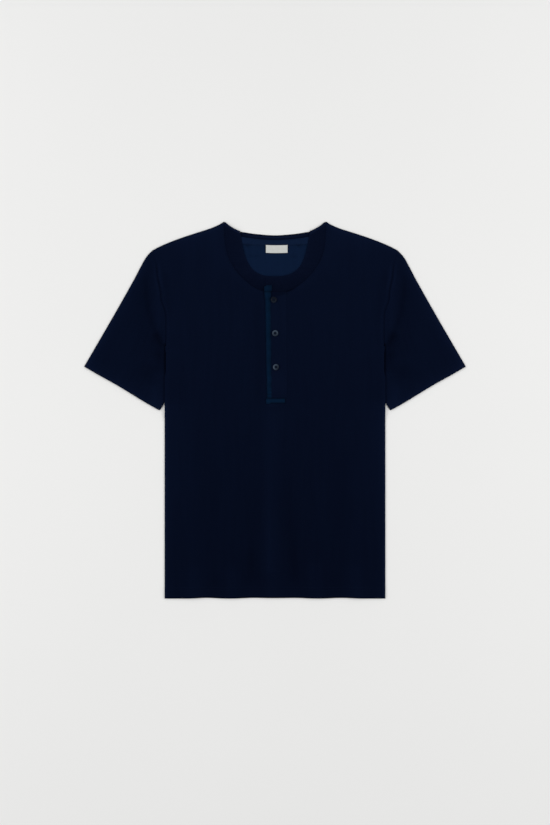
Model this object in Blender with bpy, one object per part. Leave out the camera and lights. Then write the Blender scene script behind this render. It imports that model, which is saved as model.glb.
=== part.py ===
"""A short-sleeved henley shirt, laid flat on a surface with its front up.

Lengths are in millimetres and become metres where a mesh is made. X runs across the shirt towards the
wearer's left, Y runs up to the neck and Z up from the surface. The origin is on that surface, under the
middle of the shirt's outline.
"""

import math
from collections import namedtuple

import bmesh
import bpy
from mathutils import Matrix, Vector

MM = 0.001

Station = namedtuple("Station", "place x y")
Crease = namedtuple("Crease", "place x0 y0 x1 y1 half_width height")
Column = namedtuple("Column", "x drop")
Ring = namedtuple("Ring", "radius z")
TapeRow = namedtuple("TapeRow", "y left right climb")
LabelRow = namedtuple("LabelRow", "y climb")

# Cloth: each wall's thickness, and the clear space between layers and across seams.
CLOTH = 1.2
PLACKET_CLOTH = 1.4
TRIM_CLOTH = 1.0
GAP = 0.3
LAYER = CLOTH + GAP

# Levels of the underside of what lies on the back panel.
FRONT_Z = LAYER
PLACKET_Z = 2 * LAYER
TUCK_LIFT = 2 * LAYER

# Body.
HALF_CHEST = 208.4
HEM_Y = -355.1
UNDERARM_Y = 125.7
HEM_DEPTH = 21.7
HEM_STEP = 0.5
EDGE_DROP = 0.45
NECK_POINT = Vector((96.1, 355.1))
ARMHOLE_TOP = Vector((231.5, 300.6))

SHOULDER = (
    Station("neck point", 96.1, 355.1),
    Station("beside the band", 104.8, 350.4),
    Station("inner shoulder", 121.4, 343.0),
    Station("middle", 156.5, 331.6),
    Station("outer shoulder", 189.4, 320.2),
    Station("before the sleeve", 216.6, 308.9),
    Station("armhole", 231.5, 300.6),
)
ARMHOLE = (
    Station("underarm", 208.4, 125.7),
    Station("lower chest", 211.2, 170.0),
    Station("chest", 214.0, 215.0),
    Station("upper chest", 219.5, 255.0),
    Station("near the shoulder", 226.5, 283.0),
    Station("shoulder", 231.5, 300.6),
)

# Sleeve. The underarm edge runs under the body's side edge and comes out again above the cuff.
SLEEVE_TOP = (
    Station("armhole", 231.8, 300.5),
    Station("shoulder round", 241.7, 290.0),
    Station("below the round", 249.0, 278.5),
    Station("upper arm", 266.8, 244.7),
    Station("middle", 305.1, 176.8),
    Station("cuff tip", 360.6, 81.2),
)
SLEEVE_UNDER = (
    Station("underarm", 208.8, 125.7),
    Station("before the tuck", 209.3, 109.0),
    Station("going under", 203.0, 87.0),
    Station("deepest", 198.0, 60.0),
    Station("coming out", 200.5, 34.0),
    Station("body edge", 208.9, 12.5),
    Station("cuff corner", 217.7, -1.6),
)
CUFF = (
    Station("cuff corner", 217.7, -1.6),
    Station("beside the corner", 226.5, 2.9),
    Station("inner cuff", 245.4, 13.7),
    Station("middle", 273.7, 31.0),
    Station("outer cuff", 302.0, 48.0),
    Station("before the tip", 330.4, 63.7),
    Station("cuff tip", 360.6, 81.2),
)
CUFF_HEM = 0.13
TUCK_FULL_Y = (4.0, 108.0)
TUCK_NONE_Y = (-26.0, 124.0)
TUCK_X = (158.0, 190.0)

# Neck: the seam that joins the band to the body, and the band's free edge, at the front and the back.
NECK_SEAM = (
    Station("centre", 0.0, 222.0),
    Station("by the placket", 26.4, 225.2),
    Station("low side", 47.5, 237.5),
    Station("side", 68.7, 257.9),
    Station("high side", 84.2, 281.5),
    Station("below the shoulder", 92.3, 306.0),
    Station("under the fold", 95.6, 332.0),
    Station("neck point", 96.1, 355.1),
)
BAND_EDGE = (
    Station("centre", 0.0, 251.7),
    Station("low", 17.0, 252.6),
    Station("low side", 32.7, 257.9),
    Station("side", 45.9, 269.2),
    Station("high side", 55.2, 287.0),
    Station("below the fold", 61.0, 307.0),
    Station("fold", 65.0, 337.7),
)
BACK_SEAM = (
    Station("centre", 0.0, 314.5),
    Station("middle", 35.0, 316.0),
    Station("side", 60.0, 320.0),
    Station("high side", 79.0, 328.5),
    Station("under the fold", 91.0, 341.0),
    Station("neck point", 96.1, 355.1),
)
BACK_EDGE = (
    Station("centre", 0.0, 328.9),
    Station("middle", 35.7, 331.5),
    Station("side", 56.6, 335.4),
    Station("fold", 65.0, 337.7),
)
BAND_CROWN = 0.15
BAND_LAP_X = 18.0
BAND_RAMP_X = (22.0, 46.0)
BAND_OVER_TAPE_Y = (272.0, 298.0)
BAND_FOLD_TURNS = (0, 45, 90, 135, 180)
BAND_FOLD_INSET = 0.03
BAND_FOLD_SEAM = Vector((94.7, 355.1))
BAND_ACROSS = (0.0, 0.1, 0.3, 0.55, 0.8, 1.0)
BAND_TAPE_RISE = TRIM_CLOTH + GAP
BAND_LAP_RISE = CLOTH + BAND_CROWN + GAP

# Placket, its tape and bar, leaning a little as it hangs from the band.
SLIT_X = (-12.0, 16.0)
SLIT_Y = 28.0
PLACKET_X = (-8.0, 21.5)
PLACKET_Y = 21.0
PLACKET_LEAN = 0.008
TAPE_ROWS = (
    TapeRow(20.0, -17.9, -8.3, 0.0),
    TapeRow(110.0, -17.9, -8.3, 0.0),
    TapeRow(204.0, -17.9, -8.3, 0.0),
    TapeRow(208.0, -18.6, -8.4, 0.15),
    TapeRow(212.5, -19.8, -8.6, 0.6),
    TapeRow(216.5, -20.0, -8.6, 0.92),
    TapeRow(219.5, -20.2, -8.5, 1.0),
    TapeRow(222.4, -20.6, -8.3, 1.0),
    TapeRow(223.6, -20.8, -5.7, 1.0),
    TapeRow(234.5, -20.8, -5.7, 1.0),
)
BAR_X = (-15.8, 21.0)
BAR_Y = (11.5, 19.4)

# Back neck trims.
NECK_TAPE_HALF_LENGTH = 70.0
NECK_TAPE_HALF_WIDTH = 6.2
NECK_TAPE_Y = 315.1
NECK_TAPE_SAG = 2.6 / 60.0**2
NECK_TAPE_STEPS = 14
LABEL_X = (-17.6, 24.0)
LABEL_ROWS = (
    LabelRow(311.7, 1.0),
    LabelRow(308.0, 1.0),
    LabelRow(302.0, 0.4),
    LabelRow(295.2, 0.0),
)

# Buttons.
BUTTONS = (
    Station("button_1", -2.3, 207.5),
    Station("button_2", 0.7, 144.8),
    Station("button_3", 1.5, 79.9),
)
BUTTON_RINGS = (
    Ring(0.0, 0.0),
    Ring(4.2, 0.0),
    Ring(5.6, 0.7),
    Ring(5.9, 1.5),
    Ring(5.4, 2.3),
    Ring(4.6, 2.4),
    Ring(3.7, 1.6),
    Ring(0.0, 1.5),
)
BUTTON_SIDES = 20

# Largest folds, as soft ridges along straight lines.
FRONT_CREASES = (
    Crease("centre ridge", -9.0, -12.0, -11.0, -300.0, 11.0, 1.5),
    Crease("hem, outer right side", -151.0, -312.0, -153.0, -360.0, 17.0, 1.4),
    Crease("hem, inner right side", -81.0, -290.0, -79.0, -360.0, 15.0, 1.1),
    Crease("hem, middle", 2.0, -322.0, 0.0, -360.0, 14.0, 0.9),
    Crease("hem, inner left side", 74.0, -300.0, 78.0, -360.0, 15.0, 1.0),
    Crease("hem, outer left side", 152.0, -306.0, 154.0, -360.0, 16.0, 1.5),
    Crease("right of the neck", -113.0, 325.0, -104.0, 262.0, 12.0, 0.7),
    Crease("left of the neck", 113.0, 325.0, 104.0, 262.0, 12.0, 0.7),
)
SLEEVE_CREASES = (
    Crease("puff along the armhole", 224.0, 262.0, 217.0, 152.0, 6.5, 1.9),
    Crease("swell of the sleeve", 272.0, 190.0, 292.0, 96.0, 34.0, 1.1),
)
HEM_WAVES = (
    Crease("outer right side", -130.0, 0.0, 0.0, 0.0, 17.0, 1.4),
    Crease("inner right side", -42.0, 0.0, 0.0, 0.0, 20.0, 1.4),
    Crease("inner left side", 36.0, 0.0, 0.0, 0.0, 17.0, 1.3),
    Crease("outer left side", 126.0, 0.0, 0.0, 0.0, 20.0, 1.3),
)

# Grid lines of the panels. The panels share the outer columns and the rows beside the tucked sleeve.
OUTER_COLUMNS = (
    Column(208.4, EDGE_DROP),
    Column(207.2, 0.12),
    Column(204.4, 0.0),
    Column(198.0, 0.0),
    Column(190.0, 0.0),
    Column(179.0, 0.0),
    Column(168.0, 0.0),
    Column(156.0, 0.0),
)
FRONT_COLUMNS = (138.0, 118.0, 98.0, 79.0, 60.0, 44.0, 31.0, 22.0)
SLIT_COLUMNS = (-4.0, 5.0)
NECK_COLUMNS = (76.0, 64.0, 48.0, 32.0, 16.0)
NECK_POINT_COLUMN = HALF_CHEST * NECK_POINT.x / ARMHOLE_TOP.x
BACK_COLUMNS = (122.0, NECK_POINT_COLUMN, *NECK_COLUMNS)
TUCK_ROWS = (-26.0, -16.0, -6.0, 4.0, 14.0, 28.0, 50.0, 72.0, 92.0, 107.0, 113.5, 119.5, 125.7)
FRONT_HEM_ROWS = (
    -355.1, -345.0, -334.6, -332.0, -318.0, -297.0, -272.0, -240.0, -205.0, -165.0, -125.0, -90.0, -57.0
)
BACK_HEM_ROWS = (-355.1, -345.0, -300.0, -230.0, -160.0, -90.0)
SLIT_FAN_ROWS = 4
FRONT_FAN_ROWS = 14
BACK_FAN_ROWS = 9
SLEEVE_SECTIONS = (0.0, 0.035, 0.075, 0.115, 0.16, 0.22, 0.31, 0.43, 0.57, 0.72, 0.86, 0.88, 1.0)
SLEEVE_UPPER = (0.05, 0.11, 0.19, 0.29, 0.4, 0.52, 0.64, 0.76, 0.87, 0.95)
SLEEVE_LOWER = (0.92, 0.7, 0.45, 0.2, 0.06)
SLEEVE_TURNS = (0, 45, 90, 135, 180)
STRIP_ACROSS = (0.0, 0.07, 0.32, 0.5, 0.68, 0.93, 1.0)

NAVY = "0D1730"
NAVY_BAND = "0A132A"
NAVY_INSIDE = "142443"
TAPE_BLUE = "0C2C50"
BUTTON_GREY = "4A5260"
LABEL_WHITE = "C9CBC6"


def smooth(value):
    """A step from 0 to 1 with level ends."""
    share = min(1.0, max(0.0, value))
    return share * share * (3.0 - 2.0 * share)


def relief(creases, x, y):
    """How high the soft ridges stand at a point."""
    point = Vector((x, y))
    height = 0.0
    for crease in creases:
        start = Vector((crease.x0, crease.y0))
        run = Vector((crease.x1, crease.y1)) - start
        share = min(1.0, max(0.0, (point - start).dot(run) / run.length_squared))
        distance = (point - start - run * share).length
        height += crease.height * math.exp(-((distance / crease.half_width) ** 2))
    return height


def mirrored(stations):
    """A whole outline from its half, which starts on the centre line."""
    other = [Station(s.place, -s.x, s.y) for s in reversed(stations[1:])]
    return (*other, *stations)


class Line:
    """A smooth line through stations, read by the share of its length."""

    STEPS = 20

    def __init__(self, stations):
        knots = [Vector((s.x, s.y)) for s in stations]
        runs = [0.0]
        for first, second in zip(knots, knots[1:]):
            runs.append(runs[-1] + (second - first).length)
        last = len(knots) - 1
        slopes = []
        for i in range(len(knots)):
            low, high = max(i - 1, 0), min(i + 1, last)
            slopes.append((knots[high] - knots[low]) / (runs[high] - runs[low]))
        self.points = [knots[0]]
        for i in range(last):
            span = runs[i + 1] - runs[i]
            for step in range(1, self.STEPS + 1):
                t = step / self.STEPS
                self.points.append(
                    knots[i] * (2 * t**3 - 3 * t**2 + 1)
                    + slopes[i] * span * (t**3 - 2 * t**2 + t)
                    + knots[i + 1] * (3 * t**2 - 2 * t**3)
                    + slopes[i + 1] * span * (t**3 - t**2)
                )
        self.runs = [0.0]
        for first, second in zip(self.points, self.points[1:]):
            self.runs.append(self.runs[-1] + (second - first).length)

    def at(self, share):
        """The point at a share of the length."""
        run = min(1.0, max(0.0, share)) * self.runs[-1]
        i = 0
        while i < len(self.runs) - 2 and self.runs[i + 1] < run:
            i += 1
        part = (run - self.runs[i]) / (self.runs[i + 1] - self.runs[i])
        return self.points[i].lerp(self.points[i + 1], part)

    def along(self, share):
        """The unit direction in which the line runs."""
        step = 0.002
        return (self.at(share + step) - self.at(share - step)).normalized()

    def left_of(self, share):
        """The unit direction square to the line, to the left of its run."""
        run = self.along(share)
        return Vector((-run.y, run.x))

    def share_at_x(self, x):
        """The share at which the line, which runs towards +X, passes x."""
        for i in range(len(self.points) - 1):
            first, second = self.points[i], self.points[i + 1]
            if first.x <= x <= second.x:
                part = (x - first.x) / (second.x - first.x)
                return (self.runs[i] + part * (self.runs[i + 1] - self.runs[i])) / self.runs[-1]
        raise ValueError(f"the line never passes x = {x}")


SHOULDER_LINE = Line(SHOULDER)
ARMHOLE_LINE = Line(ARMHOLE)
SLEEVE_TOP_LINE = Line(SLEEVE_TOP)
SLEEVE_UNDER_LINE = Line(SLEEVE_UNDER)
CUFF_LINE = Line(CUFF)
NECK_SEAM_LINE = Line(mirrored(NECK_SEAM))
BAND_EDGE_LINE = Line(mirrored(BAND_EDGE))
BACK_SEAM_LINE = Line(mirrored(BACK_SEAM))
BACK_EDGE_LINE = Line(mirrored(BACK_EDGE))


def neck_knots(side):
    """The shares of the neck seam at which one side of the front has its corners, slit first."""
    slit_x = SLIT_X[1] if side > 0 else SLIT_X[0]
    start = NECK_SEAM_LINE.share_at_x(slit_x)
    end = 1.0 if side > 0 else 0.0
    count = FRONT_FAN_ROWS - SLIT_FAN_ROWS
    return [start + (end - start) * number / count for number in range(count + 1)]


def neck_y(x):
    """The height of the front's neck edge at x, near the centre, on its straight chords."""
    middle = [NECK_SEAM_LINE.share_at_x(column) for column in SLIT_COLUMNS]
    shares = [neck_knots(-1)[1], neck_knots(-1)[0], *middle, neck_knots(1)[0], neck_knots(1)[1]]
    knots = [NECK_SEAM_LINE.at(share) for share in shares]
    for first, second in zip(knots, knots[1:]):
        if first.x <= x <= second.x:
            return first.lerp(second, (x - first.x) / (second.x - first.x)).y
    raise ValueError(f"x = {x} is not near the placket")


def lean(y):
    """How far the placket has leant sideways at y, measured from its top."""
    return PLACKET_LEAN * (neck_y(0.0) - y)


def linear(code):
    """An sRGB hex colour as linear red, green, blue and alpha."""
    parts = [int(code[i : i + 2], 16) / 255 for i in (0, 2, 4)]
    return (*[p / 12.92 if p <= 0.04045 else ((p + 0.055) / 1.055) ** 2.4 for p in parts], 1.0)


def finish(name, code, roughness):
    """A plain material for one kind of piece."""
    material = bpy.data.materials.new(name)
    material.use_nodes = True
    shader = material.node_tree.nodes["Principled BSDF"]
    shader.inputs["Base Color"].default_value = linear(code)
    shader.inputs["Roughness"].default_value = roughness
    shader.inputs["Metallic"].default_value = 0.0
    return material


def add_object(name, mesh, material, parent):
    """Links a bmesh into the scene as one named piece."""
    data = bpy.data.meshes.new(name)
    if mesh.calc_volume(signed=True) < 0:
        bmesh.ops.reverse_faces(mesh, faces=mesh.faces)
    mesh.to_mesh(data)
    mesh.free()
    data.materials.append(material)
    data.shade_smooth()
    data.set_sharp_from_angle(angle=math.radians(40))
    piece = bpy.data.objects.new(name, data)
    piece.parent = parent
    bpy.context.scene.collection.objects.link(piece)
    return piece


def wall_mesh(outer, inner, keep=None, ring=False):
    """A closed wall between two grids of points: its two faces, and a rim round every edge.

    keep(row, column) says which cells are cloth. A ring joins the last column to the first. Every cell
    is halved along the same diagonal, so that walls on one grid lie evenly on each other.
    """
    mesh = bmesh.new()
    columns = len(outer[0])
    spans = columns if ring else columns - 1
    layers = (outer, inner)
    made = {}
    rims = {}

    def corner(layer, place):
        key = (layer, place)
        if key not in made:
            made[key] = mesh.verts.new(Vector(layers[layer][place[0]][place[1]]) * MM)
        return made[key]

    for row in range(len(outer) - 1):
        for column in range(spans):
            if keep and not keep(row, column):
                continue
            after = (column + 1) % columns
            loop = ((row, column), (row, after), (row + 1, after), (row + 1, column))
            for half in ((0, 1, 2), (0, 2, 3)):
                mesh.faces.new([corner(0, loop[i]) for i in half])
                mesh.faces.new([corner(1, loop[i]) for i in reversed(half)])
            for first, second in zip(loop, loop[1:] + loop[:1]):
                if rims.pop((second, first), None) is None:
                    rims[(first, second)] = True
    for first, second in rims:
        mesh.faces.new((corner(0, second), corner(0, first), corner(1, first), corner(1, second)))
    return mesh


def tuck_lift(x, y):
    """How far the body's edge is raised by the sleeve tucked under it."""
    across = smooth((abs(x) - TUCK_X[0]) / (TUCK_X[1] - TUCK_X[0]))
    above = smooth((TUCK_NONE_Y[1] - y) / (TUCK_NONE_Y[1] - TUCK_FULL_Y[1]))
    below = smooth((y - TUCK_NONE_Y[0]) / (TUCK_FULL_Y[0] - TUCK_NONE_Y[0]))
    return TUCK_LIFT * across * above * below


def hem_wave(x):
    """How far the hem is drawn up at x."""
    return sum(w.height * math.exp(-(((x - w.x0) / w.half_width) ** 2)) for w in HEM_WAVES)


def hem_row(points, y):
    """A straight row of the body, with the hem's waves in its lowest rows."""
    share = smooth((y - HEM_Y) / HEM_DEPTH)
    return [Vector((x, y + hem_wave(x) * (1.0 - share))) for x in points]


def fan_row(side, inner, top, outer_share, shares):
    """One half row above the underarm, from its inner end out to the armhole.

    top(share) is where the panel's top edge departs from a straight line.
    """
    outer = ARMHOLE_LINE.at(outer_share)
    outer.x *= side
    row = []
    for share in shares:
        point = inner.lerp(outer, share)
        bend = top(share) * outer_share**2
        row.append(Vector((point.x + side * bend.x, point.y + bend.y)))
    return row


def half_shares(inner_x, columns):
    """Where the columns lie between a half's inner end and its side, from 0 to 1."""
    return [(x - inner_x) / (HALF_CHEST - inner_x) for x in columns]


def panel_mesh(rows, drops, bottom, thickness, keep=None):
    """A panel's wall over its grid of places, with rounded outer edges."""
    last = len(rows) - 1
    top_points, bottom_points = [], []
    for number, row in enumerate(rows):
        edge = EDGE_DROP if number in (0, last) else 0.0
        tops, bottoms = [], []
        for point, drop in zip(row, drops):
            low = bottom(point.x, point.y)
            bottoms.append((point.x, point.y, low))
            tops.append((point.x, point.y, low + thickness(point.y) - max(drop, edge)))
        top_points.append(tops)
        bottom_points.append(bottoms)
    return wall_mesh(top_points, bottom_points, keep)


def make_back(material, parent):
    """The back panel: flat on the surface, raised only over the tucked sleeves."""
    half = [c.x for c in reversed(OUTER_COLUMNS)]
    columns = [0.0, *reversed(BACK_COLUMNS), *half]
    drops = [0.0] * (1 + len(BACK_COLUMNS)) + [c.drop for c in reversed(OUTER_COLUMNS)]
    shares = half_shares(0.0, columns)
    neck_share = NECK_POINT.x / ARMHOLE_TOP.x
    centre_top = BACK_SEAM[0].y

    def top(share):
        straight = Vector((0.0, centre_top)).lerp(ARMHOLE_TOP, share)
        if share < neck_share:
            return BACK_SEAM_LINE.at(0.5 + 0.5 * share / neck_share) - straight
        return SHOULDER_LINE.at((share - neck_share) / (1.0 - neck_share)) - straight

    whole = [-x for x in reversed(columns[1:])] + columns
    rows = [hem_row(whole, y) for y in (*BACK_HEM_ROWS, *TUCK_ROWS)]
    for number in range(1, BACK_FAN_ROWS + 1):
        share = number / BACK_FAN_ROWS
        inner = Vector((0.0, UNDERARM_Y + (centre_top - UNDERARM_Y) * share))
        left = fan_row(1, inner, top, share, shares)
        right = fan_row(-1, inner, top, share, shares)
        rows.append(list(reversed(right[1:])) + left)
    whole_drops = list(reversed(drops[1:])) + drops
    mesh = panel_mesh(rows, whole_drops, tuck_lift, lambda y: CLOTH)
    return add_object("back", mesh, material, parent)


def front_bottom(x, y):
    """The underside of the front panel."""
    return FRONT_Z + tuck_lift(x, y) + relief(FRONT_CREASES, x, y)


def front_thickness(y):
    """The front's wall, with its hem turned up inside."""
    hem = smooth((HEM_Y + HEM_DEPTH + 1.0 - y) / 2.0)
    return CLOTH + HEM_STEP * hem


def front_inner_edge(side, number):
    """The inner end of a row of the front above the underarm: up the slit, then round the neck."""
    knots = neck_knots(side)
    if number > SLIT_FAN_ROWS:
        return NECK_SEAM_LINE.at(knots[number - SLIT_FAN_ROWS])
    corner = NECK_SEAM_LINE.at(knots[0])
    return Vector((corner.x, UNDERARM_Y)).lerp(corner, number / SLIT_FAN_ROWS)


def make_front(material, parent):
    """The front panel, open down the middle for the placket, with its folds raised off the back."""
    columns = [*reversed(FRONT_COLUMNS), *[c.x for c in reversed(OUTER_COLUMNS)]]
    half_drops = [0.0] * (1 + len(FRONT_COLUMNS)) + [c.drop for c in reversed(OUTER_COLUMNS)]
    halves = {}
    for side, slit_x in ((1, SLIT_X[1]), (-1, -SLIT_X[0])):
        halves[side] = half_shares(slit_x, [slit_x, *columns])

    def top(share):
        straight = NECK_POINT.lerp(ARMHOLE_TOP, share)
        return SHOULDER_LINE.at(share) - straight

    left_x = [SLIT_X[1], *columns]
    right_x = [SLIT_X[0], *[-x for x in columns]]
    whole = [*reversed(right_x), *SLIT_COLUMNS, *left_x]
    rows = [hem_row(whole, y) for y in (*FRONT_HEM_ROWS, *TUCK_ROWS)]
    slit_row = len(FRONT_HEM_ROWS) + TUCK_ROWS.index(SLIT_Y)
    slit_first = len(right_x) - 1
    slit_cells = range(slit_first, slit_first + len(SLIT_COLUMNS) + 1)
    for number in range(1, FRONT_FAN_ROWS + 1):
        share = number / FRONT_FAN_ROWS
        left_end = front_inner_edge(1, number)
        right_end = front_inner_edge(-1, number)
        left = fan_row(1, left_end, top, share, halves[1])
        right = fan_row(-1, right_end, top, share, halves[-1])
        middle = [right_end.lerp(left_end, 0.33), right_end.lerp(left_end, 0.67)]
        rows.append([*reversed(right), *middle, *left])
    drops = [*reversed(half_drops), *[0.0] * len(SLIT_COLUMNS), *half_drops]

    def keep(row, column):
        return row < slit_row or column not in slit_cells

    mesh = panel_mesh(rows, drops, front_bottom, front_thickness, keep)
    return add_object("front", mesh, material, parent)


def sleeve_place(along, across):
    """A place on the sleeve in plan, between its four edges.

    along runs from the armhole to the cuff, across from the underarm edge to the top edge.
    """
    armhole = ARMHOLE_LINE.at(across) - ARMHOLE_LINE.left_of(across) * (GAP + 0.05)
    cuff = CUFF_LINE.at(across)
    under = SLEEVE_UNDER_LINE.at(along)
    top = SLEEVE_TOP_LINE.at(along)
    ruled = armhole.lerp(cuff, along) + under.lerp(top, across)
    low = SLEEVE_UNDER_LINE.at(0.0).lerp(CUFF_LINE.at(0.0), along)
    high = SLEEVE_TOP_LINE.at(0.0).lerp(CUFF_LINE.at(1.0), along)
    return ruled - low.lerp(high, across)


def sleeve_fold(line, share, away, turn):
    """A point of the sleeve's folded edge, on the middle of its wall, and its direction outwards."""
    radius = LAYER / 2
    seam = ARMHOLE_LINE.along(max(0, away)) * away
    outwards = seam.lerp(line.left_of(share) * away, smooth(share / 0.06)).normalized()
    angle = math.radians(turn)
    plan = line.at(share) + outwards * (radius * math.sin(angle) - radius - CLOTH / 2)
    point = Vector((plan.x, plan.y, CLOTH / 2 + radius + radius * math.cos(angle)))
    normal = Vector((outwards.x * math.sin(angle), outwards.y * math.sin(angle), math.cos(angle)))
    return point, normal


def sleeve_rise(place, along, across):
    """How far the sleeve's upper wall stands off the lower one."""
    from_edges = smooth(across / 0.12) * smooth((1.0 - across) / 0.1)
    from_ends = smooth(along / 0.07) * (0.35 + 0.65 * smooth((1.0 - along) / 0.3))
    beside_body = smooth((place.x - HALF_CHEST - 2.0) / 10.0)
    return relief(SLEEVE_CREASES, place.x, place.y) * from_edges * from_ends * beside_body


def make_sleeve(name, side, material, parent):
    """A flattened tube from the armhole to the cuff, folded along its top and its underarm."""
    outer_rows, inner_rows = [], []
    for along in SLEEVE_SECTIONS:
        section = []
        for turn in reversed(SLEEVE_TURNS):
            section.append((*sleeve_fold(SLEEVE_UNDER_LINE, along, -1, turn), 0.0))
        for across in SLEEVE_UPPER:
            place = sleeve_place(along, across)
            z = FRONT_Z + CLOTH / 2 + sleeve_rise(place, along, across)
            hem = HEM_STEP * smooth((along - 1.0 + CUFF_HEM) / 0.015)
            section.append((Vector((place.x, place.y, z)), Vector((0.0, 0.0, 1.0)), hem))
        for turn in SLEEVE_TURNS:
            section.append((*sleeve_fold(SLEEVE_TOP_LINE, along, 1, turn), 0.0))
        for across in SLEEVE_LOWER:
            place = sleeve_place(along, across)
            section.append((Vector((place.x, place.y, CLOTH / 2)), Vector((0.0, 0.0, -1.0)), 0.0))
        for rows, direction in ((outer_rows, 1), (inner_rows, -1)):
            row = []
            for point, normal, hem in section:
                extra = hem if direction > 0 else 0.0
                moved = point + normal * (direction * CLOTH / 2 + extra)
                row.append((side * moved.x, moved.y, moved.z))
            rows.append(row)
    mesh = wall_mesh(outer_rows, inner_rows, ring=True)
    return add_object(name, mesh, material, parent)


def band_rise(share, free_y):
    """How far the band is raised by the neck tape's end under it, across its width."""
    up = smooth((free_y - BAND_OVER_TAPE_Y[0]) / (BAND_OVER_TAPE_Y[1] - BAND_OVER_TAPE_Y[0]))
    return BAND_TAPE_RISE * up * smooth(share / 0.5)


def band_front_sections(side, end_x):
    """The band's sections from its end near the placket up to the shoulder, on one side."""
    end = 1.0 if side > 0 else 0.0
    fold = end - side * BAND_FOLD_INSET
    seam_start = NECK_SEAM_LINE.share_at_x(end_x)
    edge_start = BAND_EDGE_LINE.share_at_x(end_x)
    middle = [NECK_SEAM_LINE.share_at_x(side * x) for x in sorted(side * x for x in SLIT_COLUMNS)]
    shares = [seam_start, neck_knots(-side)[0], *middle, *neck_knots(side)[:-1]]
    sections = []
    for seam_share in shares:
        part = (seam_share - seam_start) / (end - seam_start)
        seam = NECK_SEAM_LINE.at(seam_share) + NECK_SEAM_LINE.left_of(seam_share) * GAP
        edge = BAND_EDGE_LINE.at(edge_start + (fold - edge_start) * part)
        section = []
        for share in BAND_ACROSS:
            place = seam.lerp(edge, share)
            z = FRONT_Z + CLOTH / 2 + band_rise(share, edge.y)
            if side > 0:
                ramp = (BAND_RAMP_X[1] - place.x) / (BAND_RAMP_X[1] - BAND_RAMP_X[0])
                z += BAND_LAP_RISE * smooth(ramp)
            section.append((Vector((place.x, place.y, z)), Vector((0.0, 0.0, 1.0))))
        sections.append(section)
    return sections


def band_fold_sections(side):
    """The band's sections round its fold at one shoulder, from the front level to the back level."""
    seam_end = Vector((side * BAND_FOLD_SEAM.x, BAND_FOLD_SEAM.y))
    edge_end = Vector((side * BAND_EDGE[-1].x, BAND_EDGE[-1].y))
    along = (edge_end - seam_end).normalized()
    outwards = Vector((along.y, -along.x)) * side
    sections = []
    for turn in BAND_FOLD_TURNS:
        angle = math.radians(turn)
        section = []
        for share in BAND_ACROSS:
            radius = (FRONT_Z + band_rise(share, edge_end.y)) / 2
            plan = seam_end.lerp(edge_end, share)
            plan += outwards * (radius * math.sin(angle) - radius - CLOTH / 2)
            z = CLOTH / 2 + radius + radius * math.cos(angle)
            flat = outwards * math.sin(angle)
            section.append((Vector((plan.x, plan.y, z)), Vector((flat.x, flat.y, math.cos(angle)))))
        sections.append(section)
    return sections


def band_back_sections():
    """The band's sections along the back of the neck, from the right shoulder to the left one."""
    half = [0.5 * x / NECK_POINT_COLUMN for x in NECK_COLUMNS]
    sections = []
    for share_along in [0.5 - h for h in half] + [0.5] + [0.5 + h for h in reversed(half)]:
        seam = BACK_SEAM_LINE.at(share_along) + BACK_SEAM_LINE.left_of(share_along) * GAP
        edge = BACK_EDGE_LINE.at(share_along)
        section = []
        for share in BAND_ACROSS:
            place = seam.lerp(edge, share)
            section.append((Vector((place.x, place.y, CLOTH / 2)), Vector((0.0, 0.0, -1.0))))
        sections.append(section)
    return sections


def make_neckband(material, parent):
    """One strip round the neck: it starts under the lap, folds over both shoulders and ends on top."""
    right = band_front_sections(-1, BAND_LAP_X) + band_fold_sections(-1)
    left = band_front_sections(1, -BAND_LAP_X) + band_fold_sections(1)
    sections = right + band_back_sections() + list(reversed(left))
    outer, inner = [], []
    for section in sections:
        tops, bottoms = [], []
        for share, (point, normal) in zip(BAND_ACROSS, section):
            crown = BAND_CROWN * math.sin(math.pi * share) * max(0.0, normal.z)
            tops.append(point + normal * (CLOTH / 2 + crown))
            bottoms.append(point - normal * (CLOTH / 2))
        outer.append(tops)
        inner.append(bottoms)
    return add_object("neckband", wall_mesh(outer, inner), material, parent)


def places_across(left, right):
    """The places across a strip, from its left edge to its right one."""
    return [Vector(left).lerp(Vector(right), share) for share in STRIP_ACROSS]


def strip_mesh(rows, thickness, rounding):
    """A strip from rows of (places across it, z of its underside), with softened long edges."""
    tops, bottoms = [], []
    for places, z in rows:
        top = [(p.x, p.y, z + thickness) for p in places]
        for end in (0, -1):
            top[end] = (places[end].x, places[end].y, z + thickness - rounding)
        tops.append(top)
        bottoms.append([(p.x, p.y, z) for p in places])
    return wall_mesh(tops, bottoms)


def placket_rows(edges, low, gap, z, leaning, count):
    """Rows of a strip of the placket, from its foot up to the neck seam."""
    rows = []
    for number in range(count + 1):
        places = []
        for place in places_across((edges[0], 0.0), (edges[1], 0.0)):
            y = low + (neck_y(place.x) - gap - low) * number / count
            places.append(Vector((place.x + (lean(y) if leaning else 0.0), y)))
        rows.append((places, z))
    return rows


def make_under_placket(material, parent):
    """The lower strip of the button stand, filling the slit level with the front."""
    edges = (SLIT_X[0] + GAP, SLIT_X[1] - GAP)
    rows = placket_rows(edges, SLIT_Y + GAP, 0.0, FRONT_Z, False, 4)
    return add_object("under_placket", strip_mesh(rows, CLOTH, 0.0), material, parent)


def make_over_placket(material, parent):
    """The upper strip, which lies over the slit and carries the buttons."""
    rows = placket_rows(PLACKET_X, PLACKET_Y, GAP, PLACKET_Z, True, 5)
    return add_object("over_placket", strip_mesh(rows, PLACKET_CLOTH, 0.25), material, parent)


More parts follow.
